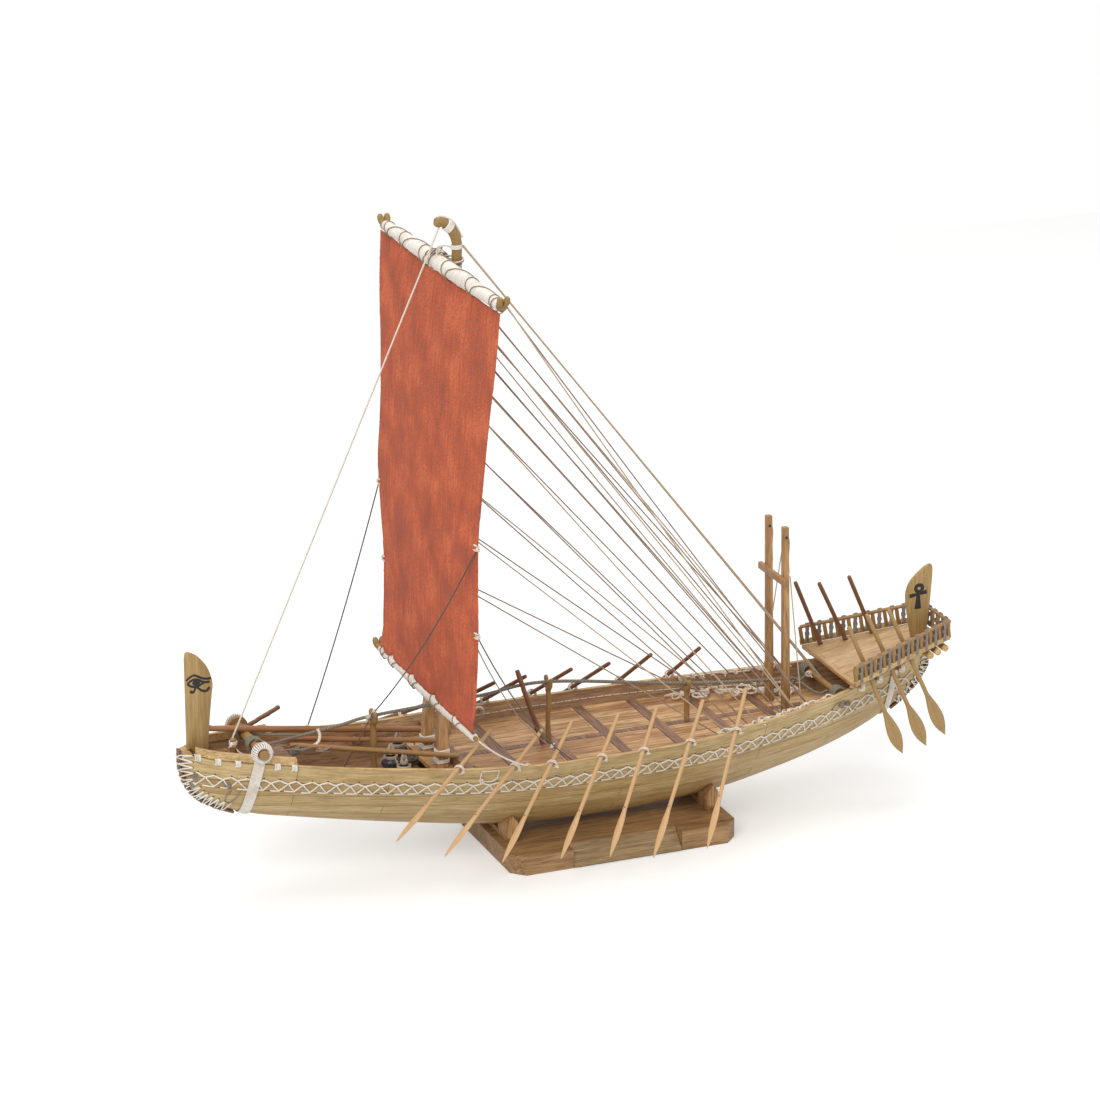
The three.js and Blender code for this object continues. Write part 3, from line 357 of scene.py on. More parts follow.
def smoothPath(points, steps=8):
    # a Catmull-Rom curve through the points
    points = [Vector(p) for p in points]
    padded = [2 * points[0] - points[1], *points, 2 * points[-1] - points[-2]]
    path = []
    for k in range(1, len(padded) - 2):
        a, b, c, d = padded[k - 1 : k + 3]
        square, cube = 2 * a - 5 * b + 4 * c - d, 3 * b - a - 3 * c + d
        for t in [i / steps for i in range(steps)]:
            path.append(0.5 * (2 * b + (c - a) * t + square * t**2 + cube * t**3))
    return path + [points[-1]]


def addCord(bm, points, radius, steps, sides=6):
    # a cord laid in a smooth curve through the points
    sweep(bm, smoothPath(points, steps), radius, sides)


def coilPath(centre, axis, radius, turns=1.0, pitch=0.0, steps=14, start=0.0, stretch=1.0):
    # a helix about an axis; stretch widens it upward
    axis = Vector(axis).normalized()
    across = (upward - axis * upward.dot(axis)) if abs(axis.z) < 0.95 else Vector((1, 0, 0))
    across.normalize()
    third = axis.cross(across)
    count = max(4, round(steps * turns))
    path = []
    for k in range(count + 1):
        share = k / count
        angle = start + 2 * math.pi * turns * share
        path.append(
            Vector(centre)
            + across * (radius * stretch * math.cos(angle))
            + third * (radius * math.sin(angle))
            + axis * (pitch * turns * (share - 0.5))
        )
    return path


def slackPath(a, b, sag, steps=16):
    # a rope between two points, hanging by the sag at its middle
    a, b = Vector(a), Vector(b)
    shares = [k / steps for k in range(steps + 1)]
    return [a.lerp(b, share) - upward * (4 * sag * share * (1 - share)) for share in shares]


def addKnot(bm, centre, size, radius, seed):
    # three small turns thrown over each other, and two short tails
    dice = random.Random(seed)
    for _ in range(3):
        axis = Vector([dice.uniform(-1, 1) for _ in range(3)])
        turns = coilPath(centre, axis, size * dice.uniform(0.75, 1.1), 1.1, radius, 9)
        sweep(bm, turns, radius, 6)
    for _ in range(2):
        reach = Vector([dice.uniform(-1, 1), dice.uniform(-1, 1), dice.uniform(-0.5, 0.4)])
        tail = [centre, Vector(centre) + reach * size + upward * 0.3, Vector(centre) + reach * size * 2.2]
        addCord(bm, tail, radius * 0.8, 3)


def addBlock(bm, low, high, bevel=0.3):
    # a sawn block with its edges taken off
    centre = (Vector(low) + Vector(high)) / 2
    size = Vector(high) - Vector(low)
    made = bmesh.ops.create_cube(bm, size=1, matrix=Matrix.Translation(centre) @ Matrix.Diagonal((*size, 1)))
    easeEdges(bm, edgesOf(made["verts"]), bevel)


def addPlate(bm, outline, half, bevel):
    # an outline in X and Z, as thick as twice the half, with rounded edges
    verts = [bm.verts.new((x, -half, z)) for x, z in outline]
    face = bmesh.ops.contextual_create(bm, geom=verts)["faces"][0]
    made = bmesh.ops.extrude_face_region(bm, geom=[face])["geom"]
    moved = [g for g in made if isinstance(g, bmesh.types.BMVert)]
    bmesh.ops.translate(bm, vec=(0, 2 * half, 0), verts=moved)
    rims = [e for e in edgesOf(verts + moved) if len(e.link_faces) == 2 and e.calc_face_angle(0) > 0.9]
    easeEdges(bm, rims, bevel)


def finishPiece(bm, name, material, body="ship", replaces=(), sharp=45, more=()):
    bmesh.ops.recalc_face_normals(bm, faces=bm.faces[:])
    bmesh.ops.scale(bm, vec=(millimetre,) * 3, verts=bm.verts[:])
    mesh = bpy.data.meshes.new(name)
    bm.to_mesh(mesh)
    bm.free()
    mesh.shade_smooth()
    mesh.set_sharp_from_angle(angle=math.radians(sharp))
    for finish in (material, *more):
        mesh.materials.append(finish)
    piece = bpy.data.objects.new(name, mesh)
    scene.collection.objects.link(piece)
    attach(piece, body)
    if replaces:
        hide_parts(*replaces)
    return piece


def runLine(name, path, radius, material, replaces=(), sides=8):
    # one free rope of the rigging, made fast to the ship at both ends
    path = [Vector(p) for p in path]
    bm = newShape()
    sweep(bm, path, radius, sides)
    piece = finishPiece(bm, name, material, replaces=replaces)
    return piece


def straightPath(a, b, steps=6):
    return slackPath(a, b, 0, steps)


# Hull
hullForm = {
    # station, half beam, sheer height, keel height
    "lines": [
        (-269, 2.4, 95.5, 84), (-266, 6, 94.6, 73), (-259, 12, 93, 63.5), (-248, 17, 91, 56.5),
        (-226, 24, 88.2, 48), (-200, 32, 85.3, 42), (-165, 38.5, 81, 34.5), (-130, 44, 77.4, 27.5),
        (-90, 52, 74.8, 20.5), (-50, 55.5, 73.4, 15.5), (0, 56, 73, 14), (40, 54.5, 73.3, 15),
        (80, 49, 74.8, 18), (120, 40, 77.5, 25.5), (150, 32, 80.2, 33), (180, 22.5, 84.5, 43.5),
        (205, 13, 88, 57), (218, 7, 90.5, 68), (225, 2.4, 92, 79),
    ],
    "wall": 2.1,
    "endWall": 5.5,
    "mesh": (110, 32),  # faces along and round the skin
}


def hullAt(x):
    # half beam, sheer and keel at a station
    lines = hullForm["lines"]
    last = len(lines) - 1
    k = min(max(next((i for i, row in enumerate(lines) if row[0] >= x), last), 1), last)
    p, q = lines[k - 1], lines[k]
    before, beyond = lines[max(k - 2, 0)], lines[min(k + 1, last)]
    run = q[0] - p[0]
    t = min(max((x - p[0]) / run, 0), 1)
    values = []
    for c in (1, 2, 3):
        m0 = (q[c] - before[c]) / (q[0] - before[0]) * run
        m1 = (beyond[c] - p[c]) / (beyond[0] - p[0]) * run
        values.append(
            (2 * t**3 - 3 * t**2 + 1) * p[c]
            + (t**3 - 2 * t**2 + t) * m0
            + (3 * t**2 - 2 * t**3) * q[c]
            + (t**3 - t**2) * m1
        )
    return values


def halfBreadth(x, z, inset=0.0):
    # how far out the hull's face is at a height, drawn in by the wall for the inner face
    beam, sheer, keel = hullAt(x)
    bottom = keel + 1.2 * inset
    u = math.sqrt(min(max((z - bottom) / (sheer - bottom), 0), 1))
    return max(beam - 1.15 * inset, 0.6) * u**1.1


def onHull(x, down, side, out=0.0):
    # a point on the outer face, so far below the sheer and standing proud by out
    z = hullAt(x)[1] - down
    y = halfBreadth(x, z)
    slopeX = (halfBreadth(x + 0.5, z) - halfBreadth(x - 0.5, z)) / 1.0
    slopeZ = (halfBreadth(x, z + 0.4) - halfBreadth(x, z - 0.4)) / 0.8
    normal = Vector((-slopeX, 1, -slopeZ)).normalized()
    return Vector((x + normal.x * out, side * (y + normal.y * out), z + normal.z * out))


def addHullSkin(bm, inset):
    stations, girths = hullForm["mesh"]
    shortening = hullForm["endWall"] - hullForm["wall"] + inset if inset else 0
    start = hullForm["lines"][0][0] + shortening
    end = hullForm["lines"][-1][0] - shortening
    grid = bmesh.ops.create_grid(bm, x_segments=stations + 2, y_segments=girths, size=1)["verts"]
    columns = stations + 3
    girthAt = {}
    for vert in grid:
        i = round((vert.co.x + 1) / 2 * (columns - 1))
        j = round((vert.co.y + 1) / 2 * girths)
        share = min(max((i - 1) / stations, 0), 1)
        # stations crowd together towards the ends
        x = mix(start, end, share - math.sin(4 * math.pi * share) / 34)
        beam, sheer, keel = hullAt(x)
        u = 2 * j / girths - 1
        half = max(beam - 1.15 * inset, 0.6)
        bottom = keel + 1.2 * inset
        folded = i in (0, columns - 1)
        y = 0 if folded else math.copysign(half * abs(u) ** 1.1, u)
        vert.co = (x, y, bottom + (sheer - bottom) * u * u)
        girthAt[vert] = (x * millimetre, (1 - abs(u)) * (half + sheer - bottom) * 0.82 * millimetre)
    mapFaces(bm, {f for v in grid for f in v.link_faces}, girthAt)
    bmesh.ops.remove_doubles(bm, verts=grid, dist=0.004)


def buildHull():
    # the outer skin, the browner inner skin and the pale sawn top
    bm = newShape()
    addHullSkin(bm, 0)
    outer = set(bm.faces)
    addHullSkin(bm, hullForm["wall"])
    for face in set(bm.faces) - outer:
        face.material_index = 1
    rims = [e for e in bm.edges if e.is_boundary]
    for face in bmesh.ops.bridge_loops(bm, edges=rims)["faces"]:
        face.material_index = 2
    finishPiece(bm, "hullShell", hullWood, replaces=["hull"], sharp=38, more=[holdWood, trimWood])


buildHull()
print("hull built")

# Lacing that sews the top strake on
lacing = {
    "top": 10.8, "bottom": 18.9, "twist": 0.22, "pitch": 9.25, "cord": 0.46, "from": -261, "to": 214,
}


def buildLacing(side, name):
    # each strand climbs from a lower hole, twists round its neighbour and ends in an upper hole
    bm = newShape()
    dice = random.Random(5 + side)
    pitch, radius, top, bottom = (lacing[key] for key in ("pitch", "cord", "top", "bottom"))
    count = int((lacing["to"] - lacing["from"]) / pitch)
    middle = top + (bottom - top) * lacing["twist"]
    shake = lambda size: dice.uniform(-size, size)
    lows = [(lacing["from"] + pitch * k + shake(0.5), bottom + shake(0.3)) for k in range(count + 1)]
    peaks = [(x + shake(0.5), top + shake(0.3)) for x, _ in lows]
    twists = [(x + pitch / 2 + shake(0.5), middle + shake(0.35)) for x, _ in lows]

    def strand(stops, lift):
        path = []
        for (x0, down0), (x1, down1) in zip(stops, stops[1:]):
            for k in range(3):
                path.append((mix(x0, x1, k / 3), mix(down0, down1, k / 3)))
        path.append(stops[-1])
        last = len(path) - 1
        out = [radius * (0.7 + lift * math.sin(math.pi * k / last)) for k in range(last + 1)]
        sweep(bm, [onHull(x, down, side, o) for (x, down), o in zip(path, out)], radius, 6)

    for k in range(count):
        strand([lows[k], twists[k], peaks[k + 1]], 0.5)
        strand([lows[k + 1], twists[k], peaks[k]], 1.6)
        x, down = lows[k]
        strand([(x + 0.3, down), (x - pitch * dice.uniform(0.5, 0.68), down + shake(0.3))], 0.3)
    finishPiece(bm, name, whiteCord)


def buildSeamAndHoleShade(side, name):
    # the dark joint behind the lacing, and black discs in the sewing holes as painted shade
    bm = newShape()
    start, end = lacing["from"], lacing["to"]
    path = [onHull(mix(start, end, k / 70), lacing["bottom"] + 0.4, side) for k in range(71)]
    sweep(bm, path, 0.16, 6)
    x = start
    while x < end:
        for place, down, radius in (
            (x, lacing["top"] - 0.7, 0.6), (x - lacing["pitch"] * 0.62, lacing["bottom"] + 0.3, 0.5),
        ):
            if place < start:
                continue
            centre = onHull(place, down, side)
            outward = onHull(place, down, side, 1) - centre
            turn = outward.to_track_quat("Z", "Y").to_matrix().to_4x4()
            matrix = Matrix.Translation(centre + outward * 0.1) @ turn
            # painted shade: a black disc in each sewing hole
            bmesh.ops.create_circle(bm, cap_ends=True, segments=8, radius=radius, matrix=matrix)
        x += lacing["pitch"]
    finishPiece(bm, name, blackPaintAndHoleShade)


lacingEnds = {
    # station, distance below the sheer and size of each knot
    "knots": ((-243.5, 17, 2.0), (-262, 14, 1.7), (-263.5, 20, 1.6), (152.5, 8.5, 1.9), (158, 9.5, 1.6)),
    "tails": (
        [(-243, 18), (-242, 21.5), (-243.8, 24.5), (-244.5, 28)],
        [(-236.5, 19.5), (-237.5, 24), (-239.5, 28), (-242.5, 31)],
        [(146, 11.5), (148, 7), (153.5, 6.2), (157, 8.8), (153, 11)],
    ),
    "square": [(-96.4, 1.3), (-86, 1), (-86, 7.2), (-88.5, 9.6), (-94.6, 9.8), (-96.4, 7), (-96.4, 1.3)],
    "squareKnot": (-95, 8.6),
    "proud": 0.35,
}


def buildHullKnots():
    # ends of the lacing, knotted on the outside, and the square loops further aft
    bm, loop = newShape(), newShape()
    square, proud = lacingEnds["square"], lacingEnds["proud"]
    for side in (-1, 1):
        for x, down, size in lacingEnds["knots"]:
            addKnot(bm, onHull(x, down, side, 0.8), size, lashCord, 500 + int(x) + side)
        for stops in lacingEnds["tails"]:
            addCord(bm, [onHull(x, down, side, proud) for x, down in stops], 0.4, 4)
        path = []
        for (x0, down0), (x1, down1) in zip(square, square[1:]):
            path += [onHull(mix(x0, x1, k / 4), mix(down0, down1, k / 4), side, proud) for k in range(4)]
        sweep(loop, path, lashCord, 6)
        addKnot(loop, onHull(*lacingEnds["squareKnot"], side, 0.8), 1.5, 0.4, 520 + side)
    finishPiece(bm, "lacingEnds", mauveCord)
    finishPiece(loop, "lacingSquareLoops", creamCord)


for side, word in hullSides:
    buildLacing(side, "lacing" + word)
    buildSeamAndHoleShade(side, "lacingSeamAndHoleShade" + word)
buildHullKnots()

# Sewing over the stem and the stern post
endSewing = {
    # run of the edge in X and Z, from the head down
    "stem": [(-269.3, 93.5), (-269.1, 84), (-266, 73), (-259, 63.5), (-248, 56.5), (-239, 52.5)],
    "stern": [(225.2, 90), (225.1, 79), (218, 68), (205, 57), (201, 54.5)],
    "pitch": 4.3,
    "inboard": 5.6,  # of the holes from the edge
    "strip": 1.8,  # how far the strip stands proud
    "spread": 3.0,  # of a turn to each side where it meets the strip
    "share": 0.55,  # of the holes that also have a straight stitch
}


def edgeWalk(points, pitch, sign):
    # evenly spaced places along the edge, each with the way outward
    curve = smoothPath([(x, 0, z) for x, z in points], 12)
    places, travelled = [], 0.0
    for a, b in zip(curve, curve[1:]):
        step = (b - a).length
        while travelled < step:
            along = (b - a).normalized()
            places.append((a + along * travelled, Vector((-sign * along.z, 0, sign * along.x))))
            travelled += pitch
        travelled -= step
    return places


def buildEndSewing(name, sign):
    cords, stitchHoleShade = newShape(), newShape()
    dice = random.Random(40 + sign)
    places = edgeWalk(endSewing[name], endSewing["pitch"], sign)
    proud, inboard, spread = endSewing["strip"] + lashCord * 0.8, endSewing["inboard"], endSewing["spread"]

    def hole(k, side):
        centre, outward = places[k]
        spot = centre - outward * inboard
        return Vector((spot.x, side * (halfBreadth(spot.x, spot.z) + 0.35), spot.z))

    for k in range(len(places) - 1):
        (here, outward), (there, outwardNext) = places[k], places[k + 1]
        for side in (-1, 1):
            spot = hole(k, side)
            # painted shade: a dark ball sunk in each sewing hole
            made = bmesh.ops.create_icosphere(stitchHoleShade, subdivisions=1, radius=0.8)
            bmesh.ops.translate(stitchHoleShade, vec=spot - Vector((0, side * 0.45, 0)), verts=made["verts"])
            # over the strip to the next hole of the other side, so that the turns cross
            shift = dice.uniform(-0.25, 0.25)
            crest = (here + there) / 2 + outward * proud + Vector((0, side * 0.9, 0))
            near = here.lerp(there, 0.3 + shift) + outward * 0.6 + Vector((0, side * spread, 0))
            far = here.lerp(there, 0.7 + shift) + outwardNext * 0.6 + Vector((0, -side * spread, 0))
            addCord(cords, [spot, near, crest, far, hole(k + 1, -side)], lashCord, 3)
            if dice.random() < endSewing["share"]:
                middle = here.lerp(there, 0.5) + Vector((0, side * 3.1, 0)) - outward * dice.uniform(0.2, 1.4)
                addCord(cords, [spot, middle, hole(k + 1, side)], lashCord * 0.9, 4)
    finishPiece(cords, name + "Stitches", whiteCord)
    finishPiece(stitchHoleShade, name + "StitchHoleShade", blackPaintAndHoleShade)


buildEndSewing("stem", -1)
buildEndSewing("stern", 1)
print("lacing sewn")

# Pale capping strip along the top of the hull
capStrip = {"from": -205, "to": 158, "width": 2.6, "rise": 0.05, "half": 0.42, "steps": 60}


def buildCapStrip(side, name):
    bm = newShape()
    path, half, steps = [], capStrip["width"] / 2, capStrip["steps"]
    for k in range(steps + 1):
        x = mix(capStrip["from"], capStrip["to"], k / steps)
        beam, sheer, _ = hullAt(x)
        path.append(Vector((x, side * (beam - half), sheer + capStrip["rise"])))
    sweep(bm, path, [half + 0.12] * len(path), 12, [capStrip["half"]] * len(path), (0, 1, 0), 1000)
    finishPiece(bm, name, trimWood)


for side, word in hullSides:
    buildCapStrip(side, "capStrip" + word)


# End boards, with the painted signs that such ships carry
endBoards = {
    "thickness": 2.2,
    "eased": 0.3,
    "bow": [
        (-265, 95.1), (-262.6, 95.1), (-258, 89.2), (-252, 88.6), (-250.6, 110.1), (-248.8, 127.1),
        (-248, 134.6), (-249.2, 140.6), (-252, 147.1), (-257, 153.1), (-260.4, 155.2), (-262.8, 156.3),
        (-264.4, 155.5), (-265, 152.1),
    ],
    "bowCurve": (3, 12),  # first and last point of the outline's rounded run
    "stern": [
        (214.6, 98.7), (225.2, 100.6), (227.4, 124), (228.3, 140), (228, 144.8), (226.5, 146.2),
        (222.6, 144.6), (217.5, 140.6), (213.2, 136.2), (210.9, 131.2), (210.2, 126), (211.6, 114.5),
    ],
    "sternCurve": (1, 11),
}


def roundedOutline(points, span):
    first, last = span
    flat = [Vector((a, b, 0)) for a, b in points[first : last + 1]]
    curve = [(p.x, p.y) for p in smoothPath(flat, 5)]
    return points[:first] + curve + points[last + 1 :]


def buildEndBoard(points, span, name, node):
    bm = newShape()
    half = endBoards["thickness"] / 2
    addPlate(bm, roundedOutline(points, span), half, endBoards["eased"])
    finishPiece(bm, name, boardWood, replaces=[node])


buildEndBoard(endBoards["bow"], endBoards["bowCurve"], "bowEndBoard", "bow_board")
buildEndBoard(endBoards["stern"], endBoards["sternCurve"], "sternEndBoard", "stern_board")

signs = {
    # strokes of the eye and of the ankh in X and Z, each with its half width at start and end
    "eye": [
        (
            [(-264.3, 138.6), (-262.6, 140.2), (-259.7, 141.5), (-257.7, 140.8), (-255, 139.2),
             (-252.3, 138.4), (-249.2, 138.3)],
            0.5, 0.62,
        ),
        (
            [(-263.6, 136.6), (-262, 137.9), (-259.8, 138.8), (-257.5, 138.6), (-255.1, 137.2),
             (-252.8, 136.3), (-250, 136.2)],
            0.5, 0.6,
        ),
        (
            [(-263.6, 136.6), (-262.1, 135.1), (-259.9, 134.2), (-257.6, 134.1), (-255.8, 134.9),
             (-254.2, 135.8), (-252.4, 136.1)],
            0.55, 0.5,
        ),
        ([(-258.5, 133.9), (-259.6, 131.6), (-260.7, 130.8), (-262, 131.8)], 0.5, 0.7),
        ([(-257.9, 133.8), (-256.1, 132.2), (-253.9, 130.8), (-251.9, 130.8), (-250.2, 132.7)], 0.5, 0.7),
    ],
    "pupil": (-258.2, 136.6, 2.5, 2.0),
    "ankh": [
        (
            [(219, 128.2), (216.9, 130.2), (217.3, 132.5), (219.2, 133.1), (221.2, 132.3),
             (221.3, 129.9), (219, 128.2)],
            0.95, 0.95,
        ),
        ([(218.6, 127.1), (215.6, 126.8), (212.6, 126.3)], 0.7, 1.15),
        ([(218.6, 127.1), (221.6, 127.6), (224.6, 128.1)], 0.7, 1.1),
        ([(218.6, 127), (218.6, 122), (218.6, 117.4)], 0.95, 1.8),
    ],
    "weight": 1.3,  # of all strokes
    "paint": 0.09,
}


def paintStroke(bm, points, first, last, y):
    # a flat brush stroke, laid in short overlapping dabs
    path = smoothPath([(x, y, z) for x, z in points], 5)
    count = len(path) - 1
    for k in range(count):
        a, b = path[k], path[k + 1]
        run = (b - a).normalized()
        wide = [mix(first, last, (k + i) / count) for i in (0, 1)]
        dab = [a - run * 0.12, b + run * 0.12]
        sweep(bm, dab, wide, 8, [signs["paint"]] * 2, run.cross(Vector((0, 1, 0))))


def buildSigns():
    bm = newShape()
    half, weight = endBoards["thickness"] / 2, signs["weight"]
    for side in (-1, 1):
        for points, first, last in signs["eye"] + signs["ankh"]:
            paintStroke(bm, points, first * weight, last * weight, side * half)
        x, z, wide, tall = signs["pupil"]
        place = Matrix.Translation((x, side * half, z)) @ Matrix.Diagonal((wide, 0.1, tall, 1))
        bmesh.ops.create_uvsphere(bm, u_segments=16, v_segments=8, radius=1, matrix=place)
    finishPiece(bm, "paintedSigns", blackPaintAndHoleShade)


buildSigns()
print("end boards painted")


# Bow rail lashings
bowLashings = {"places": (-261.3, -250.7, -239.6, -217.3, -207.7), "size": 3.1, "turns": 4, "pitch": 0.8}


def buildBowLashings():
    bm = newShape()
    dice = random.Random(3)
    half, turns = bowLashings["size"] / 2, bowLashings["turns"]
    for side in (-1, 1):
        for x in bowLashings["places"]:
            sheer = hullAt(x)[1]
            for k in range(turns):
                place = x + (k - (turns - 1) / 2) * bowLashings["pitch"] + dice.uniform(-0.1, 0.1)
                middle = sheer - 1 + dice.uniform(-0.15, 0.15)
                out = side * (hullAt(place)[0] + 0.15)
                path = [
                    (place, out - side * 1.2, middle + half + 0.3),
                    (place, out + side * 0.25, middle + half),
                    (place + 0.1, out + side * 0.35, middle),
                    (place, out + side * 0.1, middle - half),
                    (place, out - side * 1.2, middle - half - 0.2),
                ]
                addCord(bm, path, lashCord, 3)
    finishPiece(bm, "bowRailLashings", whiteCord)


buildBowLashings()

# Girdles: a woven strap under each end of the hull, and at the bow a corded ring on each pin end
bowGirdle = {
    "x": -226, "z": 95.7, "pin": 3, "ring": 6.4, "near": 21, "far": 28.3, "washer": 3.2, "turns": 26,
    "strap": 6.3, "rake": 5, "girth": 70,
}
sternGirdle = {"x": 195.5, "strap": 5, "girth": 50}


def buildStrap(name, strap, across, placeAt, replaces=()):
    # a woven band laid on the hull by placeAt, then given its thickness
    bm = newShape()
    placeOf = {}
    for vert in bmesh.ops.create_grid(bm, x_segments=across, y_segments=40, size=1)["verts"]:
        s, t = vert.co.x, vert.co.y
        vert.co = placeAt(s, t)
        placeOf[vert] = (s * strap["strap"] / 2 * millimetre, t * strap["girth"] * millimetre)
    mapFaces(bm, bm.faces, placeOf)
    bmesh.ops.recalc_face_normals(bm, faces=bm.faces[:])
    bmesh.ops.solidify(bm, geom=bm.faces[:], thickness=-0.6)
    finishPiece(bm, name, strapCloth, replaces=replaces)


def bowStrapPlace(s, t):
    # raked forward under the hull, and straight up from the sheer to the pin
    side, share = 1 if t >= 0 else -1, abs(t)
    keel, top = hullAt(bowGirdle["x"])[2], bowGirdle["z"] - 5
    z = keel + (top - keel) * share
    x = bowGirdle["x"] - 1.4 - bowGirdle["rake"] * (1 - share) + s * bowGirdle["strap"] / 2
    beam, sheer, low = hullAt(x)
    y = beam
    if z < sheer:
        y = halfBreadth(x, max(z, low + 0.01))
        z = max(z, low)
    out = 0.55 + 0.08 * math.cos(s * math.pi)
    return (x, side * (y + out), z + (-0.75 if share < 0.2 else -0.35) * out)


def sternStrapPlace(s, t):
    x = sternGirdle["x"] + s * sternGirdle["strap"] / 2
    _, sheer, keel = hullAt(x)
    z = keel + (sheer - 1.2 - keel) * abs(t)
    side = 1 if t >= 0 else -1
    out = 0.5 + 0.08 * math.cos(s * math.pi)
    return (x, side * (halfBreadth(x, z) + out), z - 0.6 * out)


def buildBowRings():
    # turns of cord side by side over a dark core, which stands as painted shade in the gaps between the turns; on
    # the port end against the hull and on the starboard end against a wooden washer
    cords, core, washer = newShape(), newShape(), newShape()
    x, z, near, thick = (bowGirdle[key] for key in ("x", "z", "near", "washer"))
    rim = bowGirdle["ring"]
    middle, deep = (rim + bowGirdle["pin"]) / 2, (rim - bowGirdle["pin"]) / 2 - 0.3
    for side in (-1, 1):
        start, far = near + (thick if side > 0 else 0), bowGirdle["far"]
        y, half = side * (start + far) / 2, (far - start) / 2
        for k in range(bowGirdle["turns"]):
            angle = 2 * math.pi * k / bowGirdle["turns"]
            outward = Vector((math.cos(angle), 0, math.sin(angle)))
            centre = Vector((x, y, z)) + outward * middle
            path = [
                centre + outward * (deep * math.cos(turn)) + Vector((0, half * 0.9 * math.sin(turn), 0))
                for turn in [2 * math.pi * i / 14 for i in range(15)]
            ]
            sweep(cords, path, 0.5, 6)
        # painted shade: the dark core shows in the gaps between the turns
        ring = coilPath((x, y, z), (0, 1, 0), middle, 1, 0, 30)
        sweep(core, ring, [half * 0.85] * len(ring), 8, [deep * 0.85] * len(ring), (0, 1, 0))
    ends = [(x, near + shift, z) for shift in (0, 0.5, thick - 0.5, thick)]
    sweep(washer, ends, [rim - 0.5, rim, rim, rim - 0.5], 28, unit=1000)
    finishPiece(cords, "bowGirdleRings", whiteCord, replaces=["bow_girdle"])
    finishPiece(core, "bowGirdleShadeCores", darkCordAndGapShade)
    finishPiece(washer, "bowWasher", rodWood)


buildStrap("bowGirdleStrap", bowGirdle, 6, bowStrapPlace)
buildBowRings()
buildStrap("sternGirdleStrap", sternGirdle, 5, sternStrapPlace, ["stern_girdle"])
print("girdles fitted")

# Hogging truss: one grey rope from the bow pin over the forks to the truss pin
truss = {
    "radius": 1.05,
    "route": [
        (-192, 0, 93), (-168, 0, 95.9), (-147, 0, 98.9), (-79, 0, 101.6), (-33, 0, 104.2), (60, 0, 89.6),
        (134, 0, 82),
    ],
    # place of each pin, radius of the loop on it, reach to the side, and turns of the loop with their shift
    "bowPin": (-226, 95.7, 4.5, 10, 4, 0),
    "sternPin": (154, 77, 4.4, 15, 5, 7),
    # a doubled end laid back along the foredeck, and the cord that rises from it
    "doubled": [(-188.5, -7, 87.4), (-195, -8.2, 86.8), (-203, -8.6, 86)],
    "doubledRuns": (0, 1.4, 2.6),
    "riser": [(-189, -6.4, 87.6), (-184.5, -5.4, 89), (-182.4, -3, 92.4), (-183, -1, 96.2)],
    "coil": (-182, -9, 84.6, 3.6),
    "ends": ((-216, -8, 90), (-209, -9, 88.5), (-204, -4, 88.4)),
}


def buildTruss():
    path = smoothPath(truss["route"], 12)
    runLine("trussRope", path, truss["radius"], greyCord, replaces=["truss_rope"], sides=10)
    bm = newShape()
    for pin, end, toward in ((truss["bowPin"], path[0], 1), (truss["sternPin"], path[-1], -1)):
        pinX, pinZ, loop, reach, turns, shift = pin
        for side in (-1, 1):
            half = (pinX + toward * (loop + 6), side * reach * 0.8, pinZ - 1.6)
            leg = [end, half, (pinX + toward * loop, side * reach, pinZ)]
            addCord(bm, leg, truss["radius"] * 0.75, 6, 8)
            centre = (pinX, side * (reach + shift), pinZ)
            sweep(bm, coilPath(centre, (0, 1, 0), loop, turns, 1.5, 16), 0.62, 8)
    for shift in truss["doubledRuns"]:
        run = [(x, y + shift, z) for x, y, z in truss["doubled"]]
        addCord(bm, run, 0.85, 5, 8)
    sweep(bm, coilPath((-199, -7.2, 86.4), (1, 0, 0.1), 2.1, 5, 1.1, 12), 0.5, 6)
    finishPiece(bm, "trussLoops", greyCord)
    light = newShape()
    addCord(light, truss["riser"], 0.95, 6, 8)
    sweep(light, coilPath((-150, 0, 98), (1, 0, 0.1), 1.4, 4, 0.9, 12), 0.38, 6)
    addKnot(light, (148, 9, 80), 1.9, 0.5, 5)
    finishPiece(light, "trussSeizings", creamCord)
    dark = newShape()
    dice = random.Random(61)
    x, y, z, wide = truss["coil"]
    for k in range(7):
        centre = (x + dice.uniform(-1.5, 1.5), y + dice.uniform(-1, 1), z + 0.35 * k)
        axis = (dice.uniform(-0.3, 0.3), dice.uniform(-0.3, 0.3), 1)
        sweep(dark, coilPath(centre, axis, wide + dice.uniform(-0.9, 0.7), 1, 0.3, 16), 0.45, 6)
    for x, y, z in truss["ends"]:
        far = (x + 11, y + dice.uniform(-2, 4), z + dice.uniform(-1.5, 1.5))
        lift = (x + 5, y + dice.uniform(-2, 2), z + dice.uniform(0.6, 3))
        addCord(dark, [(x, y, z), lift, far], 0.4, 5)
    finishPiece(dark, "trussCoil", brownCord)


buildTruss()

# Forked posts that carry the truss
forks = {
    # station, height of the fork, foot and thickness of each
    "posts": {
        "fork_post_fore": (-147, 96.5, 58.3, 1.9),
        "fork_post_middle": (-33, 101.8, 64.9, 1.6),
        "fork_post_aft": (60, 87.2, 64.9, 1.6),
    },
    "spread": 4.2,
    "prong": 5.5,
    "swell": [0.94, 0.94, 0.95, 0.98, 1.04, 1.0, 0.9, 0.84, 0.86, 0.82, 0.5],
}


def titled(name):
    return name.replace("_", " ").title().replace(" ", "")


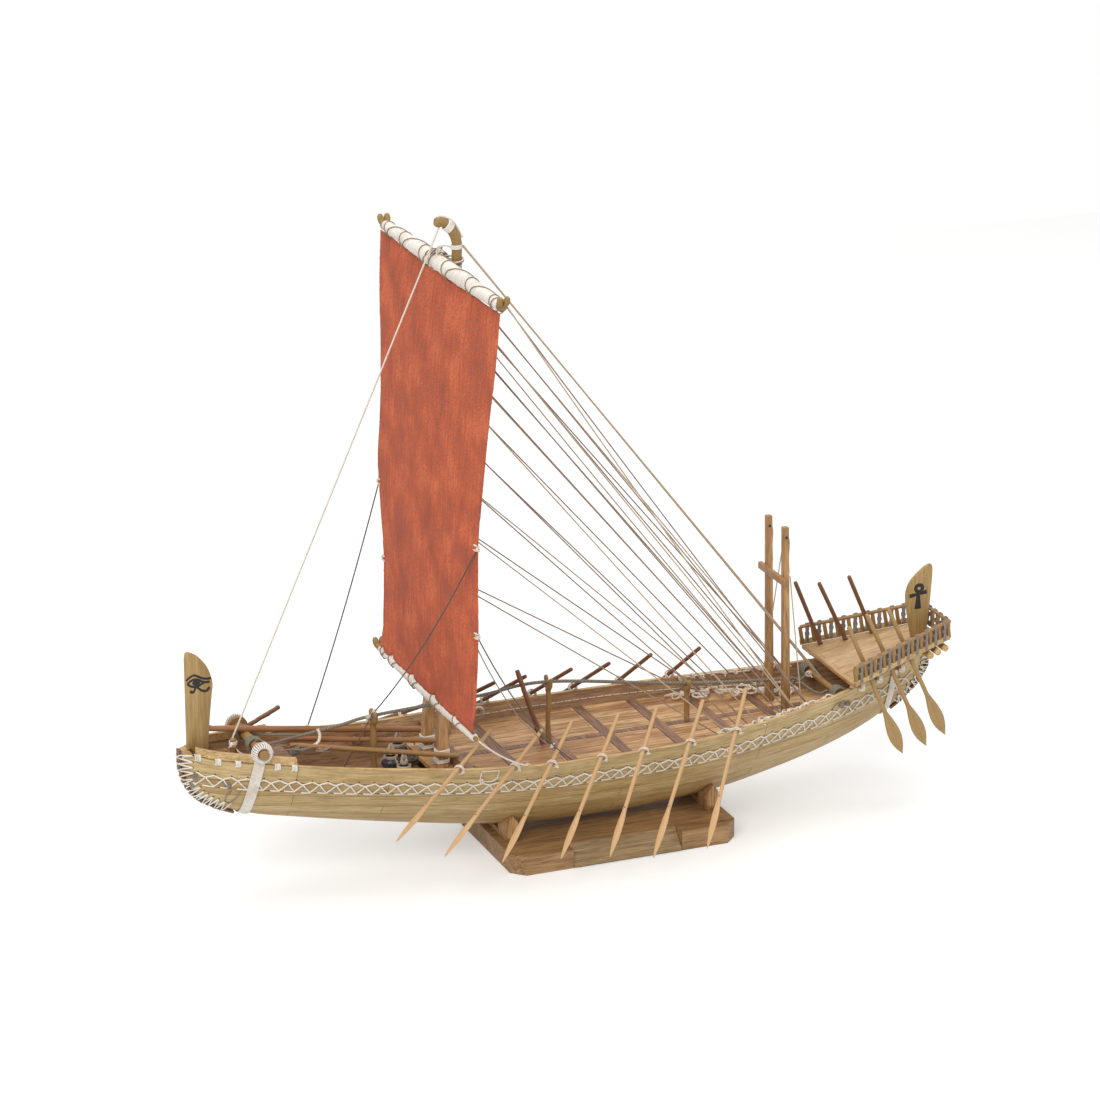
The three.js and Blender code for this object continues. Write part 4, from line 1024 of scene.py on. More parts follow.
def buildForks():
    spread, prong = forks["spread"], forks["prong"]
    for name, (x, crotch, foot, radius) in forks["posts"].items():
        bm = newShape()
        dice = random.Random(name)
        shaft = [
            (x + dice.uniform(-0.25, 0.25), dice.uniform(-0.25, 0.25), mix(foot, crotch - 2.6, k / 8))
            for k in range(9)
        ]
        wide = [radius * (1.0 + dice.uniform(-0.06, 0.1)) for _ in range(9)]
        wide[-1] *= 1.2
        wide[5] *= 1.18
        sweep(bm, smoothPath(shaft, 2), [wide[min(8, k // 2)] for k in range(17)], 12, unit=1000)
        for side in (-1, 1):
            bend = (x, side * spread * 0.62, crotch + 0.4)
            path = smoothPath([(x, 0, crotch - 3.2), bend, (x, side * spread, crotch + prong)], 5)
            sweep(bm, path, [radius * share for share in forks["swell"]], 10, unit=1000)
        finishPiece(bm, titled(name) + "Carved", rodWood, replaces=[name])


buildForks()

# Loose rods: the tension stick, the poles on the foredeck and the bow stick
rods = {
    # foot, head, thickness and wood of each
    "tension_stick": ((-55, -3.4, 116), (-38.5, -4.6, 65.4), 1.5, darkAndShadedOarWood),
    "pole_starboard": ((-248.5, 3.3, 104.5), (-100, 24, 74), 1.9, poleWood),
    "pole_port": ((-202, -4, 89.6), (-100, -21.5, 73.6), 1.6, rodWood),
    "pole_middle": ((-206, 7.5, 89.9), (-100, 5.6, 73.6), 1.6, poleWood),
}


def addRod(bm, a, b, radius, seed, sides=12):
    # a shaved stick: slightly uneven, its ends rounded
    dice = random.Random(seed)
    a, b = Vector(a), Vector(b)
    steps = 14
    path, radii = [], []
    for k in range(steps + 1):
        bend = Vector([dice.uniform(-0.14, 0.14) for _ in range(3)]) if 0 < k < steps else Vector()
        path.append(a.lerp(b, k / steps) + bend)
        radii.append(radius * (1 + dice.uniform(-0.05, 0.05)))
    along = (b - a).normalized()
    path = [a, a + along * 0.35, *path[1:-1], b - along * 0.35, b]
    radii = [radius * 0.55, radius * 0.92, *radii[1:-1], radius * 0.92, radius * 0.55]
    sweep(bm, path, radii, sides, unit=1000)


def buildRods():
    for name, (a, b, radius, wood) in rods.items():
        bm = newShape()
        addRod(bm, a, b, radius, name)
        if name == "pole_starboard":
            # its forked end
            for lean in (-1, 1):
                root, tip = Vector(a) + Vector((2, 0, -0.3)), Vector(a) + Vector((-3.2, lean * 1.9, 0.9))
                sweep(bm, [root, root.lerp(tip, 0.7), tip], [1.6, 1.5, 0.9], 10, unit=1000)
        finishPiece(bm, titled(name) + "Shaved", wood, replaces=[name])
    bm = newShape()
    addRod(bm, (-219, 27, 92.5), (-196, 31.5, 100.5), 1.45, 8)
    # painted shade: the bow stick takes the darker copy of the oar wood
    finishPiece(bm, "bowStick", darkAndShadedOarWood)


buildRods()
print("truss and poles set")

# Mast: two legs, the carved head, and the bindings at foot and head
mast = {
    "footX": -108.3, "topX": -93, "deck": 64.4, "top": 368, "footY": 13, "topY": 3.2,
    "footSize": 6.4, "topSize": 5,
}


def legAt(z):
    # centre and size of a leg at a height
    share = (z - mast["deck"]) / (mast["top"] - mast["deck"])
    return [mix(mast["foot" + key], mast["top" + key], share) for key in ("X", "Y", "Size")]


def squarePath(centre, half, turns, rise, steps=16):
    # cord wound round a squared post
    path = []
    for k in range(round(steps * turns) + 1):
        angle = 2 * math.pi * k / steps
        c, s = math.cos(angle), math.sin(angle)
        reach = half / max(abs(c), abs(s)) ** 0.8
        path.append(Vector(centre) + Vector((c * reach, s * reach, rise * k / steps)))
    return path


bindings = {
    "heights": ((67.6, 2.6), (72.6, 3)),  # height and turns
    "rise": 1.15,
    "cord": 0.58,
    "cross": (68.6, 71.4, 74.4),
    "coil": (-60, 50.2, 70, 3.4),  # spare cord hung on the starboard bulwark
}


def buildMastBindings():
    bm = newShape()
    low, middle, high = bindings["cross"]
    for side in (-1, 1):
        for z, turns in bindings["heights"]:
            x, y, size = legAt(z)
            path = squarePath((x, side * y, z), size / 2 + 0.5, turns, bindings["rise"])
            sweep(bm, path, bindings["cord"], 6)
        x, y, size = legAt(69)
        front, y = x + size / 2 + 0.5, side * y
        for reach, out in ((-2, 0.7), (2, 0.9)):
            cross = [(front, y + reach, low), (front + out, y, middle), (front, y - reach, high)]
            addCord(bm, cross, 0.5, 4)
        addKnot(bm, (front + 0.6, y, 70.2), 1.2, 0.4, 21 + side)
    dice = random.Random(9)
    x, y, z, wide = bindings["coil"]
    for k in range(5):
        centre = Vector((x + dice.uniform(-0.8, 0.8), y - 0.25 * k, z + dice.uniform(-0.6, 0.6)))
        axis, reach = (0.12 * dice.uniform(-1, 1), 1, 0.25), wide + dice.uniform(-0.4, 0.4)
        sweep(bm, coilPath(centre, axis, reach, 1, 0.3, 18, stretch=1.15), lashCord, 6)
    finishPiece(bm, "mastBindings", whiteCord)


head = {
    "line": [
        (-91.1, 0, 368.3), (-91.1, 0, 378), (-91, 0, 389), (-94.5, 0, 397), (-98.5, 0, 401), (-104.5, 0, 402),
    ],
    "radius": 2.9,
    "bands": [((-91.1, 0, 385.8), (0, 0, 1), 3), ((-96, 0, 398.6), (-0.75, 0, 0.66), 5)],
}


def buildMasthead():
    bm = newShape()
    path = smoothPath(head["line"], 5)
    last = len(path) - 1
    radii = []
    for k in range(last + 1):
        share = k / last
        swell = 1.06 - 0.12 * math.exp(-(((share - 0.78) / 0.12) ** 2))
        radii.append(head["radius"] * swell * (0.78 if k in (0, last) else 1))
    sweep(bm, path, radii, 14, unit=1000)
    finishPiece(bm, "mastheadCarved", tipWood, replaces=["masthead"])
    bands = newShape()
    for centre, axis, turns in head["bands"]:
        sweep(bands, coilPath(centre, axis, head["radius"] + 0.3, turns, 0.85, 18), 0.48, 6)
    addKnot(bands, (-94.6, -2.4, 401.6), 1.0, 0.36, 57)
    finishPiece(bands, "mastheadBands", whiteCord)


# Yard and boom: poles wound in white linen
yard = {
    "x": -100.5, "z": 376, "half": 97, "radius": 4.8, "tip": 3.3, "wound": (-95, 95),
    "lashings": (85, 58, 22, -14, -53, -88),
}
boom = {
    "x": -112.9, "z": 109.4, "half": 82, "radius": 3.4, "tip": 2.3, "wound": (-82, 80),
    "lashings": (72, 56, 19, -18, -55),
}
sparCord = 0.34


def sparRadius(spar, y):
    # full to a third of the half length, then drawn in to the tip
    return mix(spar["radius"], spar["tip"], max(0, abs(y) / spar["half"] - 0.35) / 0.65)


def buildSpar(spar, name, node):
    bm = newShape()
    path, radii = [], []
    steps = 120
    for k in range(steps + 1):
        y = mix(*spar["wound"], k / steps)
        ripple = 0.12 * math.sin(y * 2 * math.pi / 7.3) + 0.16 * noise.noise(Vector((y * 0.16, 3.1, 0)))
        path.append((spar["x"], y, spar["z"]))
        radii.append(sparRadius(spar, y) - 0.1 + ripple)
    radii[0] *= 0.9
    radii[-1] *= 0.9
    sweep(bm, path, radii, 18, unit=1000)
    uv = bm.loops.layers.uv.verify()
    for face in bm.faces:
        for loop in face.loops:
            loop[uv].uv.y *= 0.024
    # loose folds of the winding
    for vert in bm.verts:
        centre = Vector((spar["x"], vert.co.y, spar["z"]))
        arm = vert.co - centre
        angle = math.atan2(arm.z, arm.x)
        fold = 0.13 * math.sin(3 * angle + vert.co.y * 0.55) * math.sin(vert.co.y * 0.31 + angle)
        if arm.length > 0.1:
            vert.co = centre + arm * (1 + fold / max(arm.length, 1))
    finishPiece(bm, name, wrapCloth, replaces=[node], sharp=60)


def addFork(bm, spar, side, reach=5):
    # the pole end carved to two rounded lobes
    x, y, z = spar["x"], spar["half"] - 2.5, spar["z"]
    stem = [(x, side * (y + shift), z + lift) for shift, lift in ((-3, 0), (0, 0), (3.2, 0.3))]
    sweep(bm, smoothPath(stem, 3), [2.1, 2.1, 2.15, 2.2, 2.3, 2.35, 2.3], 12, unit=1000)
    for lean in (-1, 1):
        lobe = [
            (x + lean * out, side * (y + shift), z + lift)
            for out, shift, lift in ((0.5, 0.6, 0.1), (1.9, 3.2, 2.2), (2.3, reach, 6.2))
        ]
        sweep(bm, smoothPath(lobe, 4), [1.7, 1.75, 1.8, 1.85, 1.9, 2.0, 2.0, 1.75, 1.1], 10, unit=1000)


def buildSparTips():
    bm = newShape()
    for side in (-1, 1):
        addFork(bm, yard, side)
    addFork(bm, boom, 1)
    # bare core in the open end of the boom's winding
    core = [(boom["x"], -boom["half"] + shift, boom["z"]) for shift in (-0.9, 5)]
    sweep(bm, core, 1.5, 12, unit=1000)
    finishPiece(bm, "sparTips", tipWood)


def addSparLacing(bm, spar, seed):
    # one cord along the spar: a tight turn at each place, then a long slant over to the next
    dice = random.Random(seed)
    marks = list(spar["lashings"])
    gaps = [a - b for a, b in zip(marks, marks[1:])] + [marks[-2] - marks[-1]]
    slant = [0, 0.06, 0.12, 0.2, 0.34, 0.54, 0.74, 0.88, 0.97, 1]
    for k, (y, gap) in enumerate(zip(marks, gaps)):
        path = []
        lean, shake = dice.uniform(3.6, 5.2), dice.uniform(-0.6, 0.6)
        for i in range(19):
            angle = 2 * math.pi * i / 18
            path.append((angle, y + shake + lean * (1 - math.cos(angle)) / 2))
        reach = min(gap, spar["half"] + y - 3)
        steps = 27
        for i in range(1, steps + 1):
            share = i / steps * (len(slant) - 1)
            low = min(int(share), len(slant) - 2)
            moved = mix(slant[low], slant[low + 1], share - low)
            path.append((2 * math.pi * i / steps, y + shake - reach * moved))
        points = []
        for angle, place in path:
            radius = sparRadius(spar, place) + 0.35
            below = 1.0 if math.cos(angle) > 0.8 else 0.2
            lift = -math.cos(angle) * (radius + below * max(0, math.cos(angle)))
            points.append((spar["x"] - math.sin(angle) * radius, place, spar["z"] + lift))
        sweep(bm, points, sparCord, 6)


def buildSparLashings():
    bm = newShape()
    addSparLacing(bm, yard, 40)
    addSparLacing(bm, boom, 41)
    for side in (-1, 1):
        y = side * (yard["half"] - 1.5)
        sweep(bm, coilPath((yard["x"], y, yard["z"]), (0, 1, 0), 3.0, 2, 0.8, 16), sparCord, 6)
    addKnot(bm, (yard["x"], yard["half"] - 3, yard["z"] - 3.4), 1.2, sparCord, 52)
    addKnot(bm, (boom["x"] - 0.4, -boom["half"] + 2, boom["z"] + 3.4), 1.2, 0.4, 53)
    finishPiece(bm, "sparLashings", brownCord)
    # the yard's heavy lashing to the masthead
    heavy, pale = newShape(), newShape()
    dice = random.Random(77)
    for k in range(9):
        axis = Vector((dice.uniform(-0.5, 0.5), 1, dice.uniform(-0.7, 0.7)))
        centre = (yard["x"] + 1.2, 12 + dice.uniform(-4.5, 4.5), yard["z"] + 0.3)
        turn = coilPath(centre, axis, yard["radius"] + 1 + dice.uniform(-0.2, 0.5), 1, 0.6, 18)
        sweep(heavy if k % 3 else pale, turn, 0.4, 6)
    for k in range(6):
        axis = Vector((dice.uniform(-0.3, 0.3), dice.uniform(-0.8, 0.8), 1))
        centre = (head["line"][0][0] - 4, dice.uniform(-1, 3), yard["z"] + dice.uniform(-1, 4))
        turn = coilPath(centre, axis, 7.6 + dice.uniform(-0.3, 0.4), 1, 0.8, 22)
        sweep(heavy if k % 2 else pale, turn, 0.4, 6)
    for k in range(5):
        wad = (yard["x"] + 0.6 + 0.9 * k, 5 + 2.2 * k, yard["z"] + 5.2 + dice.uniform(0, 1.2))
        addKnot(heavy if k % 2 else pale, wad, 1.7, 0.36, 90 + k)
    finishPiece(heavy, "yardHeavyLashing", mauveCord)
    finishPiece(pale, "yardPaleLashing", creamCord)


buildMastBindings()
buildMasthead()
buildSpar(yard, "yardWound", "yard")
buildSpar(boom, "boomWound", "boom")
buildSparTips()
buildSparLashings()
print("spars wound")

# Sail
sailCut = {
    # height, port edge and starboard edge
    "edges": [
        (113.4, -81.5, 75), (170, -84, 76), (205, -80.5, 84), (232, -78.5, 90), (270, -83, 89.4),
        (305, -87.6, 93), (340, -92, 100.5), (376, -93.2, 104.5),
    ],
    "bottom": 113.4,
    "top": 371.4,
    "belly": 6,
    "thickness": 0.5,
    "rows": 120,
    "columns": 90,
    "beyond": 180,  # the marks past both ends of a spar
}


def sailEdge(z, column):
    edges = [Vector((row[0], row[column], 0)) for row in sailCut["edges"]]
    curve = smoothPath(edges, 8)
    for a, b in zip(curve, curve[1:]):
        if a.x <= z <= b.x:
            return a.y + (b.y - a.y) * (z - a.x) / (b.x - a.x)
    return curve[0].y if z < curve[0].x else curve[-1].y


def sailPlace(z, column, inset=0.0):
    # a point on the sail's edge, or so far in from it
    t = (z - sailCut["bottom"]) / (sailCut["top"] - sailCut["bottom"])
    belly = sailCut["belly"] * math.sin(math.pi * min(max(t, 0), 1)) ** 0.8 * 0.35
    side = -1 if column == 1 else 1
    return Vector((mix(boom["x"], yard["x"], t) - belly, sailEdge(z, column) - side * inset, z))


def scallop(y, spar, depth):
    # the edge is drawn to the spar at each lashing and hangs free between them
    marks = sorted([-sailCut["beyond"], *spar["lashings"], sailCut["beyond"]])
    below = max(m for m in marks if m <= y)
    above = min(m for m in marks if m > y)
    share = (y - below) / (above - below)
    return depth * math.sin(math.pi * share) ** 0.8 if above - below < 60 else depth * 0.5


def buildSail():
    bm = newShape()
    rows, low, high = sailCut["rows"], sailCut["bottom"], sailCut["top"]
    grid = bmesh.ops.create_grid(bm, x_segments=sailCut["columns"], y_segments=rows, size=1)["verts"]
    placeOf = {}
    ports, boards = [[sailEdge(mix(low, high, i / rows), column) for i in range(rows + 1)] for column in (1, 2)]
    for vert in grid:
        s, t = (vert.co.x + 1) / 2, (vert.co.y + 1) / 2
        row = round(t * rows)
        y = mix(ports[row], boards[row], s)
        z = mix(low, high, t)
        z -= scallop(y, yard, 0.9) * max(0, (t - 0.94) / 0.06)
        z -= (scallop(y, boom, 2.6) - 0.4) * max(0, (0.06 - t) / 0.06)
        belly = sailCut["belly"] * math.sin(math.pi * t) ** 0.8 * (0.35 + 0.65 * math.sin(math.pi * s))
        soft = 0.9 * noise.noise(Vector((y * 0.03, z * 0.012, 0)))
        soft += 0.25 * noise.noise(Vector((y * 0.11, z * 0.05, 4)))
        x = mix(boom["x"], yard["x"], t) - belly - soft * math.sin(math.pi * t) ** 0.5
        if t < 0.05:
            x -= 0.9 * (0.05 - t) / 0.05 * (2 if scallop(y, boom, 1) > 0.3 else 0.6)
        if min(s, 1 - s) < 0.02:
            y += 0.5 * noise.noise(Vector((z * 0.25, s * 9, 7)))
        vert.co = (x, y, z)
        placeOf[vert] = (y * millimetre, z * millimetre)
    mapFaces(bm, bm.faces, placeOf)
    piece = finishPiece(bm, "sailCloth", sailCloth, replaces=["sail"], sharp=60)
    walls = piece.modifiers.new("thickness", "SOLIDIFY")
    walls.thickness = sailCut["thickness"] * millimetre
    walls.offset = 0
    return piece


sailFray = {"edges": 70, "head": 60, "thread": [0.16, 0.08]}


def buildSailHems():
    # frayed threads along the cut edges
    bm = newShape()
    dice = random.Random(31)
    for column, side in ((1, -1), (2, 1)):
        for _ in range(sailFray["edges"]):
            root = sailPlace(dice.uniform(sailCut["bottom"] + 2, sailCut["top"] - 2), column, 1)
            thread = Vector((dice.uniform(-0.4, 0.4), side * dice.uniform(1.3, 2.3), dice.uniform(-1.6, 1.6)))
            sweep(bm, [root, root + thread], sailFray["thread"], 4)
    for _ in range(sailFray["head"]):
        root = Vector((yard["x"], dice.uniform(-88, 99), sailCut["top"] - 2.4))
        thread = Vector((dice.uniform(-0.4, 0.4), dice.uniform(-1.4, 1.4), dice.uniform(0.8, 1.8)))
        sweep(bm, [root, root + thread], sailFray["thread"], 4)
    return finishPiece(bm, "sailFrays", sailCloth)


sail = buildSail()
frays = buildSailHems()

# Eyes laced into the sail's edges
sailEyes = {"places": ((216.5, 2), (170.3, 2), (226, 1), (173.5, 1)), "radius": 1.7}  # height and column


def buildSailEyes():
    bm = newShape()
    for k, (z, column) in enumerate(sailEyes["places"]):
        side = -1 if column == 1 else 1
        place = sailPlace(z, column, 1.2)
        for lift in (-1.5, 1.5):
            turn = coilPath(place + upward * lift, (0.4, 0.2, 1), sailEyes["radius"], 1.1, 0.4, 14)
            sweep(bm, turn, lashCord, 6)
        addKnot(bm, place + Vector((0, side * 2.2, 0)), 1.1, 0.36, 60 + k)
    finishPiece(bm, "sailEyes", creamCord)


buildSailEyes()
print("sail bent on")

# Standing rigging
stays = {
    # heights on the mast leg, and the stations of the feet by side
    "heights": (181, 217, 246, 272, 298, 318, 336, 354, 366),
    -1: (70, 75, 84, 90, 96, 114, 119, 124, 134),
    1: (81, 88, 97, 100, 113, 121, 129, 136, 145),
    "radius": 0.42,
}


def gunwaleEdge(x, side, inboard=8, drop=9):
    # a point inside the gunwale; the stays are made fast at its default place
    beam, sheer, _ = hullAt(x)
    return Vector((x, side * (beam - inboard), sheer - drop))


def buildStays():
    knots, ties = newShape(), newShape()
    for side, word in hullSides:
        for k, height in enumerate(stays["heights"]):
            legX, legY, size = legAt(height)
            start = Vector((legX + size / 2 + 1.1, side * legY, height))
            end = gunwaleEdge(stays[side][k], side)
            name, path = f"backstay{word}{k + 1}", straightPath(start, end)
            material = brownCord if (k + side) % 3 else tanCord
            replaces = ["backstays"] if k == 0 and side < 0 else []
            runLine(name, path, stays["radius"], material, replaces=replaces, sides=6)
            hitch = squarePath((legX, side * legY, height - 0.8), size / 2 + 0.3, 2.2, 0.75)
            sweep(ties, hitch, sparCord, 6)
            addKnot(knots, end + upward * 0.5, 1.25, lashCord, 100 + 10 * k + side)
    finishPiece(ties, "stayHitches", tanCord)
    finishPiece(knots, "stayKnots", creamCord)


buildStays()

longRope = {
    # from the bitt over the hook, and from the back of the masthead to the truss pin
    "fore": ((-236.4, 0, 97.6), (-101.9, 0, 398.6)),
    "over": [(-102, 0, 405.6), (-98, 0, 404.4), (-94, 0, 402), (-90.6, 0, 397.6), (-87.4, 0, 391)],
    "aft": ((-87.2, 0, 386), (152.5, 0, 80.1)),
    "secondAft": ((-86.6, 0.9, 386), (152, 7, 80.4)),
    "radii": {"fore": 0.6, "aft": 0.55, "secondAft": 0.45},
}


def buildMastheadRope():
    radii = longRope["radii"]
    run = straightPath(*longRope["fore"], 8) + smoothPath(longRope["over"], 5)
    runLine("mastheadRope", run, radii["fore"], creamCord, replaces=["masthead_rope"])
    for name in ("aft", "secondAft"):
        run = straightPath(*longRope[name], 8)
        runLine("mastheadRope" + name.title(), run, radii[name], tanCord)


buildMastheadRope()

# Braces and sheets: start, end, sag, radius and cord of each
braces = {
    "braceStarboard": (sailPlace(216.5, 2), (-178.6, 31, 84.8), 5, 0.42, darkCordAndGapShade),
    "braceFront": (sailPlace(226, 1), (-147.5, -3.4, 102.5), 7, 0.45, darkCordAndGapShade),
    "braceFrontTail": ((-148.5, -3, 101.5), (-171, -1.5, 61.5), 0, 0.3, darkCordAndGapShade),
    "sheetPortDark": (sailPlace(173, 1), (-30, -47.2, 66.2), 12, 0.42, darkCordAndGapShade),
    "sheetPortSecond": (sailPlace(166, 1), (-52, -52.5, 84), 9, 0.36, brownCord),
    "boomSheet": ((-111.6, -84.2, 108.2), (-67.4, -52, 73.6), 2.5, 0.55, whiteCord),
    "yardBracePort": ((-97.2, -96.5, 375.4), gunwaleEdge(124, -1), 2.5, 0.42, tanCord),
    "yardBracePortTwo": ((-97, -95.5, 374.8), gunwaleEdge(134, -1), 1, 0.42, brownCord),
    "yardBraceStarboard": ((-97.2, 96.5, 375.4), gunwaleEdge(129, 1), 2.5, 0.42, tanCord),
    "yardBraceStarboardTwo": ((-97, 95.5, 374.8), gunwaleEdge(145, 1), 1, 0.42, brownCord),
    "gallowsLinePort": ((123.2, -13, 156), (128.6, -22, 71), 0, 0.4, tanCord),
    "gallowsLineStarboard": ((119.6, -10.6, 181), (124, 27, 72), 0, 0.4, tanCord),
}


def buildBraces():
    knots = newShape()
    for k, (name, (start, end, sag, radius, material)) in enumerate(braces.items()):
        runLine(name, slackPath(start, end, sag, 20), radius, material, sides=6)
        if name != "braceFrontTail":
            addKnot(knots, Vector(end) + upward * 0.3, 1.2, 0.4, 200 + k)
    finishPiece(knots, "braceKnots", creamCord)


buildBraces()
print("rigging run")

# Belayed ends: knots and tails along the inner edge of the gunwales, loops on the deck below
looseEnds = {
    "knots": (77, 83, 90, 97, 104, 112, 119, 126, 133, 140),
    "tail": 0.5,
    "coils": (66, 146),
    "coilCord": 0.62,
    "floor": 66.6,
}


def buildLooseEnds():
    bm = newShape()
    dice = random.Random(14)
    for side in (-1, 1):
        for k, x in enumerate(looseEnds["knots"]):
            place = gunwaleEdge(x + dice.uniform(-1, 1), side, dice.uniform(2.6, 4.4), dice.uniform(-0.2, 1.2))
            addKnot(bm, place, dice.uniform(1.3, 1.9), 0.46, 700 + 20 * side + k)
            far = gunwaleEdge(x + dice.uniform(5, 9), side, dice.uniform(2, 6), dice.uniform(0, 1.4))
            middle = (place + far) / 2 + Vector((0, -side * dice.uniform(0, 2), dice.uniform(0.3, 2)))
            addCord(bm, [place, middle, far], looseEnds["tail"], 5)
        x, last = looseEnds["coils"]
        while x < last:
            inner = halfBreadth(x, 68, hullForm["wall"]) - 5
            centre = Vector((x, side * (inner - dice.uniform(0, 9)), looseEnds["floor"] + dice.uniform(0, 2.4)))
            axis = Vector((dice.uniform(-0.5, 0.5), dice.uniform(-0.5, 0.5), 1))
            loop = coilPath(centre, axis, dice.uniform(2.4, 4.6), dice.uniform(0.8, 1.5), 0.9, 14)
            sweep(bm, loop, looseEnds["coilCord"], 6)
            x += dice.uniform(3, 5)
    finishPiece(bm, "looseEnds", creamCord)


buildLooseEnds()

# Gallows aft: two squared posts, drawn in upward, with a crossbar and two lines
gallows = {
    "foot": (122.3, 64.9), "top": (119.6, 188.5), "y": 12.1, "thick": (4.7, 3.9),
    "bar": (154, 19, 4.4), "hole": (182, 0.95),
    "cord": [(1.6, 0, 0), (2.9, -0.2, -4), (2.6, 0, -14), (3.2, 0, -24)],  # from the hole down
}


def buildGallows():
    bm = newShape()
    (footX, footZ), (topX, topZ) = gallows["foot"], gallows["top"]
    wide, slim = gallows["thick"]
    centreX = (footX + topX) / 2
    for side in (-1, 1):
        y = side * gallows["y"]
        matrix = Matrix.Translation((centreX, y, (footZ + topZ) / 2))
        matrix = matrix @ Matrix.Diagonal((wide, wide, topZ - footZ, 1))
        verts = bmesh.ops.create_cube(bm, size=1, matrix=matrix)["verts"]
        for vert in verts:
            high = vert.co.z > 100
            middle = Vector((topX if high else footX, y, vert.co.z))
            corner = Vector((math.copysign(wide / 2, vert.co.x - centreX), vert.co.y - y, 0))
            vert.co = middle + corner * (slim / wide if high else 1)
        easeEdges(bm, edgesOf(verts), 0.45)
    z, half, tall = gallows["bar"]
    front = mix(footX, topX, (z - footZ) / (topZ - footZ)) - 2.1
    addBlock(bm, (front - 2.2, -half, z - tall / 2), (front + 0.6, half, z + tall / 2), 0.4)
    finishPiece(bm, "gallowsPosts", postWood, replaces=["aft_gallows"])
    holeShade, cord = newShape(), newShape()
    z, hole = gallows["hole"]
    x = topX + 0.15
    for y in (-gallows["y"], gallows["y"]):
        # painted shade: a short black rod sunk in each hole, showing on two faces of the post
        sweep(holeShade, [(x + 1.2, y, z), (x + 2.05, y, z)], hole, 12)
        sweep(holeShade, [(x, y - 1.2, z), (x, y - 2.05, z)], hole, 12)
        hang = [(x + a, y + b, z + c) for a, b, c in gallows["cord"]]
        addCord(cord, hang, lashCord, 5)
    finishPiece(holeShade, "gallowsHoleShade", blackPaintAndHoleShade)
    finishPiece(cord, "gallowsCords", creamCord)


buildGallows()

# Stitched line where the deck meets the bulwark
deckLine = {"from": -62, "to": 150, "z": 68.2, "pitch": 5.5, "gap": 0.9, "cord": 0.32}


def buildDeckLine():
    bm = newShape()
    stitch, height = deckLine["pitch"] - deckLine["gap"], deckLine["z"]
    for side in (-1, 1):
        x = deckLine["from"]
        while x < deckLine["to"]:
            path = []
            for k in range(5):
                place = x + stitch * k / 4
                inner = halfBreadth(place, height, hullForm["wall"]) - 0.15
                path.append((place, side * (inner - 0.35 * math.sin(math.pi * k / 4)), height))
            sweep(bm, path, deckLine["cord"], 6)
            x += deckLine["pitch"]
    finishPiece(bm, "deckStitches", creamCord)


buildDeckLine()

# Rowing oars
oars = {
    # station, degrees swept back and dipped, and length inboard
    "rows": [
        (-110, 51, 15.4, 40), (-76.3, 54, 21.8, 33), (-53, 45.3, 25.9, 34), (-20.7, 42, 27.4, 34),
        (6.8, 39, 29.3, 33), (38.3, 41.5, 34.5, 30), (70.8, 38.2, 35.7, 30),
    ],
    "beams": (48.181, 53.665, 55.36, 56.116, 55.917, 54.644, 50.585),
    "portSeats": (77.72, 76.211, 75.473, 75.066, 75.026, 75.524, 76.595),
    "starboardSeats": (77.997, 76.633, 75.833, 75.413, 75.372, 75.988, 77.046),
    "starboardDip": 9,
    "peg": 80,
    # distance from the handle's end, half width and half thickness
    "profile": [
        (0, 0.7, 0.7), (0.25, 1.02, 1.02), (0.9, 1.24, 1.24), (4, 1.3, 1.3), (32, 1.3, 1.3),
        (63, 1.25, 1.25), (78, 1.22, 1.22), (81, 1.3, 1.12), (86, 1.7, 0.86), (91, 2.0, 0.66),
        (97, 2.1, 0.56), (104, 1.85, 0.5), (110, 1.25, 0.44), (114.5, 0.7, 0.38), (117, 0.25, 0.2),
    ],
}


def oarLine(k, side):
    x, sweepAngle, dip, inboard = oars["rows"][k]
    a, e = math.radians(sweepAngle), math.radians(dip + (oars["starboardDip"] if side > 0 else 0))
    along = Vector((-math.cos(e) * math.sin(a), side * math.cos(e) * math.cos(a), -math.sin(e)))
    heights = oars["starboardSeats"] if side > 0 else oars["portSeats"]
    seat = Vector((x, side * oars["beams"][k], heights[k]))
    return seat, along, seat - along * inboard


def buildRowingOar(k, side, word):
    _, along, start = oarLine(k, side)
    bm = newShape()
    profile = oars["profile"]
    rows = []
    for near, far in zip(profile, profile[1:]):
        rows += [near, [mix(a, b, 0.5) for a, b in zip(near, far)]]
    path = [start + along * row[0] for row in [*rows, profile[-1]]]
    wides, thins = ([row[i] for row in [*rows, profile[-1]]] for i in (1, 2))
    flat = upward.cross(along)
    sweep(bm, path, wides, 14, thins, flat, 1000)
    # painted shade: the starboard oars take the darker copy of the oar wood
    wood = oarWood if side < 0 else darkAndShadedOarWood
    label = f"{word.lower()}_{k + 1}"
    finishPiece(bm, f"rowingOar{word}{k + 1}", wood, "rowing_" + label, ["oar_" + label], 50)
    peg = newShape()
    spot = start + along * oars["peg"]
    over = along.cross(flat).normalized()
    for face in (-1, 1):
        made = bmesh.ops.create_icosphere(peg, subdivisions=1, radius=0.5)
        bmesh.ops.translate(peg, vec=spot + over * face * 0.95, verts=made["verts"])
    finishPiece(peg, f"oarPeg{word}{k + 1}", blackPaintAndHoleShade, "rowing_" + label)


grommets = {"radius": 2.8, "turns": (-0.5, 0.5), "lean": Vector((0.25, 0, 0)), "stretch": 1.1}


